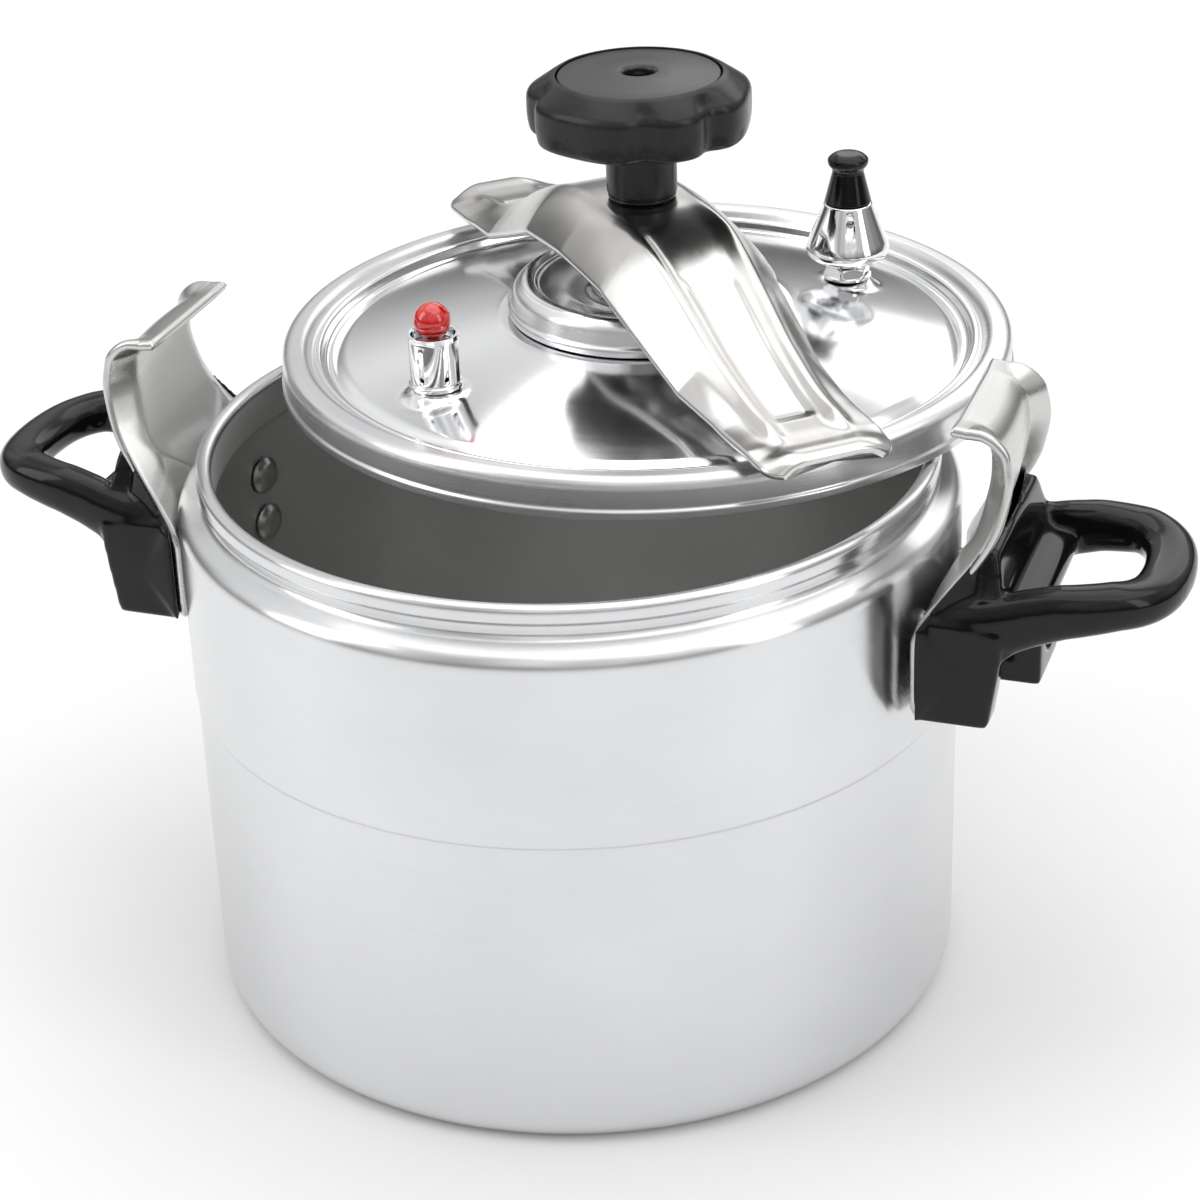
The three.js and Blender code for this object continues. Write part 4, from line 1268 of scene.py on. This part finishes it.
@dataclass
class Safety:
    """The spring safety valve: a chrome cup with bleed holes, a ring, a spring and a red pin."""

    holes: int = 6
    hole_r: float = 0.85
    hole_rise: float = 4.0
    first_turn_deg: float = 20.0
    cup_h: float = 16.5
    ball_r: float = 5.5

    def build(self, base: Sequence[float], level: float) -> None:
        """Makes the cup, what is in it, and the pin that rises.

        Args:
            base: the valve's axis at the height of the lid's widest circle.
            level: height of the lid's cone at the valve.
        """
        place = Place(base)
        axis = place.metres()
        top, under = level + SHOULDER_RISE, level - NUT_DROP
        rim = top + self.cup_h
        cup = outline([
            (0, under - 7, 0), (4, under - 7, 0.3), (4, top, 0.2), (7.9, top, 0.3), (8.0, top + 1.2, 0.3),
            (7.4, top + 1.7, 0.3), (7.35, rim - 1.6, 0.6), (7.7, rim, 0.25), (6.6, rim, 0.25),
            (6.2, rim - 1.4, 0.5), (6.2, top + 2.4, 0.4), (0, top + 2.4, 0)])
        first = math.radians(self.first_turn_deg)
        turns = [2 * math.pi * i / self.holes + first for i in range(self.holes)]
        drills = [level_drill(self.hole_r, (4.5, 10), turn, top + self.hole_rise, 20) for turn in turns]
        vertices, faces = drilled(turned(cup, 120), drills)
        Piece("safety_cup", "lid", "chrome_trim", ["safety_body"]).build(
            place.put(vertices), faces, [CHROME.material(axis)])
        ring = outline([(2.5, rim - 4.4, 0.2), (5.9, rim - 4.4, 0.2), (5.9, rim - 3.4, 0.2),
                        (2.5, rim - 3.4, 0.2), (2.5, rim - 4.4, 0.2)])
        Piece("safety_guide", "lid", "zinc_steel", ["safety_ring"]).skin(
            turned(ring[:-1], 72, wrap=True), place, ZINC.material(axis))
        dress("safety_seal", RUBBER.material(axis))
        dress("safety_nut", ZINC.material(axis))
        dress("safety_spring", ZINC.material(axis))
        ball = rim + 3.6
        sweep = np.radians(np.linspace(-66, 89, 36))
        sphere = np.stack([self.ball_r * np.cos(sweep), ball + self.ball_r * np.sin(sweep)], 1)
        pin = outline([(0, top + 2.8, 0), (5, top + 2.8, 0.3), (5, top + 4.2, 0.4), (2, top + 4.2, 0.3),
                       (2, ball - self.ball_r, 0.2), (sphere[0, 0], sphere[0, 1], 0)])
        stalk = np.array([[0, under - 5], [1.8, under - 5], [1.8, top + 2.7]])
        Piece("safety_button", "safety_indicator", "red_plastic", ["safety_pin"]).skin(
            turned(np.vstack([stalk, pin[1:-1], sphere, [[0, ball + self.ball_r]]]), 96), place,
            RED.material(axis))


# ---- Stage -------------------------------------------------------------------------------------
@dataclass
class Studio:
    """A pale floor, soft boxes and an even pale surround, with the camera."""

    floor_half: float = 6.0
    floor_colour: Colour = (0.86, 0.86, 0.86)
    lens_mm: float = 90.0
    sensor_mm: float = 36.0
    aim_height: float = 0.12
    azimuth_deg: float = 20.0
    elevation_deg: float = 27.535
    distance: float = 0.9549
    aim_right: float = 0.0076
    aim_up: float = 0.1020
    roll_deg: float = -2.177

    def floor(self) -> None:
        """A wide flat floor under the pot."""
        h = self.floor_half
        mesh = bpy.data.meshes.new("floor")
        mesh.from_pydata([(-h, -h, 0), (h, -h, 0), (h, h, 0), (-h, h, 0)], [], [(0, 1, 2, 3)])
        graph = Graph("floor_paper")
        tone = graph.noise(graph.place((0, 0, 0)), 3.0)
        mesh.materials.append(graph.surface({
            "Base Color": graph.blend(tone, self.floor_colour, tuple(c * 0.99 for c in self.floor_colour)),
            "Roughness": 0.9}))
        made = bpy.data.objects.new("floor", mesh)
        bpy.context.scene.collection.objects.link(made)

    def surround(self) -> None:
        """A pale surround with a dark band along the horizon and softly uneven walls."""
        world = bpy.data.worlds.new("surround")
        bpy.context.scene.world = world
        world.use_nodes = True
        nodes, links = world.node_tree.nodes, world.node_tree.links
        nodes.clear()
        direction = nodes.new("ShaderNodeTexCoord")
        parts = nodes.new("ShaderNodeSeparateXYZ")
        ramp = nodes.new("ShaderNodeValToRGB")
        Graph.set_stops(ramp.color_ramp, [(0.0, 0.16), (0.07, 0.12), (0.20, 0.38), (0.42, 0.80), (1.0, 1.0)])
        around = nodes.new("ShaderNodeMapping")
        around.inputs["Scale"].default_value = (1.0, 1.0, 0.12)
        patches = nodes.new("ShaderNodeTexNoise")
        patches.inputs["Scale"].default_value = 2.6
        patches.inputs["Detail"].default_value = 2.0
        shade = nodes.new("ShaderNodeValToRGB")
        Graph.set_stops(shade.color_ramp, [(0.36, 0.60), (0.62, 1.12)])
        glow, out = nodes.new("ShaderNodeBackground"), nodes.new("ShaderNodeOutputWorld")
        links.new(direction.outputs["Generated"], parts.inputs[0])
        links.new(parts.outputs["Z"], ramp.inputs[0])
        links.new(direction.outputs["Generated"], around.inputs["Vector"])
        links.new(around.outputs["Vector"], patches.inputs["Vector"])
        links.new(patches.outputs[0], shade.inputs[0])
        links.new(ramp.outputs[0], glow.inputs[0])
        links.new(shade.outputs[0], glow.inputs["Strength"])
        links.new(glow.outputs[0], out.inputs[0])

    def soft_box(self, name: str, at: Sequence[float], size: tuple[float, float], watts: float) -> None:
        """An area light that faces the pot."""
        light = bpy.data.lights.new(name, "AREA")
        light.shape = "RECTANGLE"
        light.size, light.size_y = size
        light.energy = watts
        made = bpy.data.objects.new(name, light)
        bpy.context.scene.collection.objects.link(made)
        made.location = at
        made.rotation_mode = "QUATERNION"
        made.rotation_quaternion = (Vector((0, 0, self.aim_height)) - Vector(at)).to_track_quat("-Z", "Y")

    def lights(self) -> None:
        """Soft boxes over, beside and behind the pot."""
        self.soft_box("over", (0.1, 0.5, 2.3), (3.0, 2.6), 27)
        self.soft_box("key", (-1.6, -0.9, 1.3), (0.9, 1.7), 10)
        self.soft_box("fill", (1.8, -0.5, 1.1), (0.6, 1.6), 6)
        self.soft_box("rear", (0.2, 2.2, 1.3), (1.9, 0.8), 5)

    def camera(self) -> None:
        """The camera: on a sphere about the object, shifted in its own plane, then rolled."""
        a, e = math.radians(self.azimuth_deg), math.radians(self.elevation_deg)
        right = Vector((math.cos(a), math.sin(a), 0))
        back = Vector((math.sin(a) * math.cos(e), -math.cos(a) * math.cos(e), math.sin(e)))
        up = back.cross(right)
        data = bpy.data.cameras.new("camera")
        data.sensor_width = self.sensor_mm
        data.lens = self.lens_mm
        data.clip_start, data.clip_end = 0.01, 100.0
        made = bpy.data.objects.new("camera", data)
        bpy.context.scene.collection.objects.link(made)
        roll = math.radians(self.roll_deg)
        across = right * math.cos(roll) + up * math.sin(roll)
        above = up * math.cos(roll) - right * math.sin(roll)
        matrix = Matrix((across, above, back)).transposed().to_4x4()
        matrix.translation = back * self.distance + right * self.aim_right + up * self.aim_up
        made.matrix_world = matrix
        bpy.context.scene.camera = made

    def build(self) -> None:
        """Sets the stage."""
        self.floor()
        self.surround()
        self.lights()
        self.camera()
        view = bpy.context.scene.view_settings
        view.view_transform = "Standard"


def main() -> None:
    """Builds the cooker's pieces in order."""
    logging.basicConfig(level=logging.INFO, format="%(name)s: %(message)s")
    Studio().build()
    Pot().build()
    for side in Side:
        Lug().build(side)
        Rivet().build(side)
    Handle().build()
    base = Spot().base()
    vent_at, safety_at = middle_of("weight_body"), middle_of("safety_body")
    lid = Lid()
    pads = [at[:2] - np.array(base[:2]) for at in (vent_at, safety_at)]
    lid.build(base, pads)
    Boss().build(base)
    Spindle().build(base)
    Knob().build(base)
    Bridge().build(base)
    levels = [lid.slope(float(np.hypot(*pad))) for pad in pads]
    Vent().build((vent_at[0], vent_at[1], base[2]), levels[0])
    Safety().build((safety_at[0], safety_at[1], base[2]), levels[1])


if __name__ == "__main__":
    main()
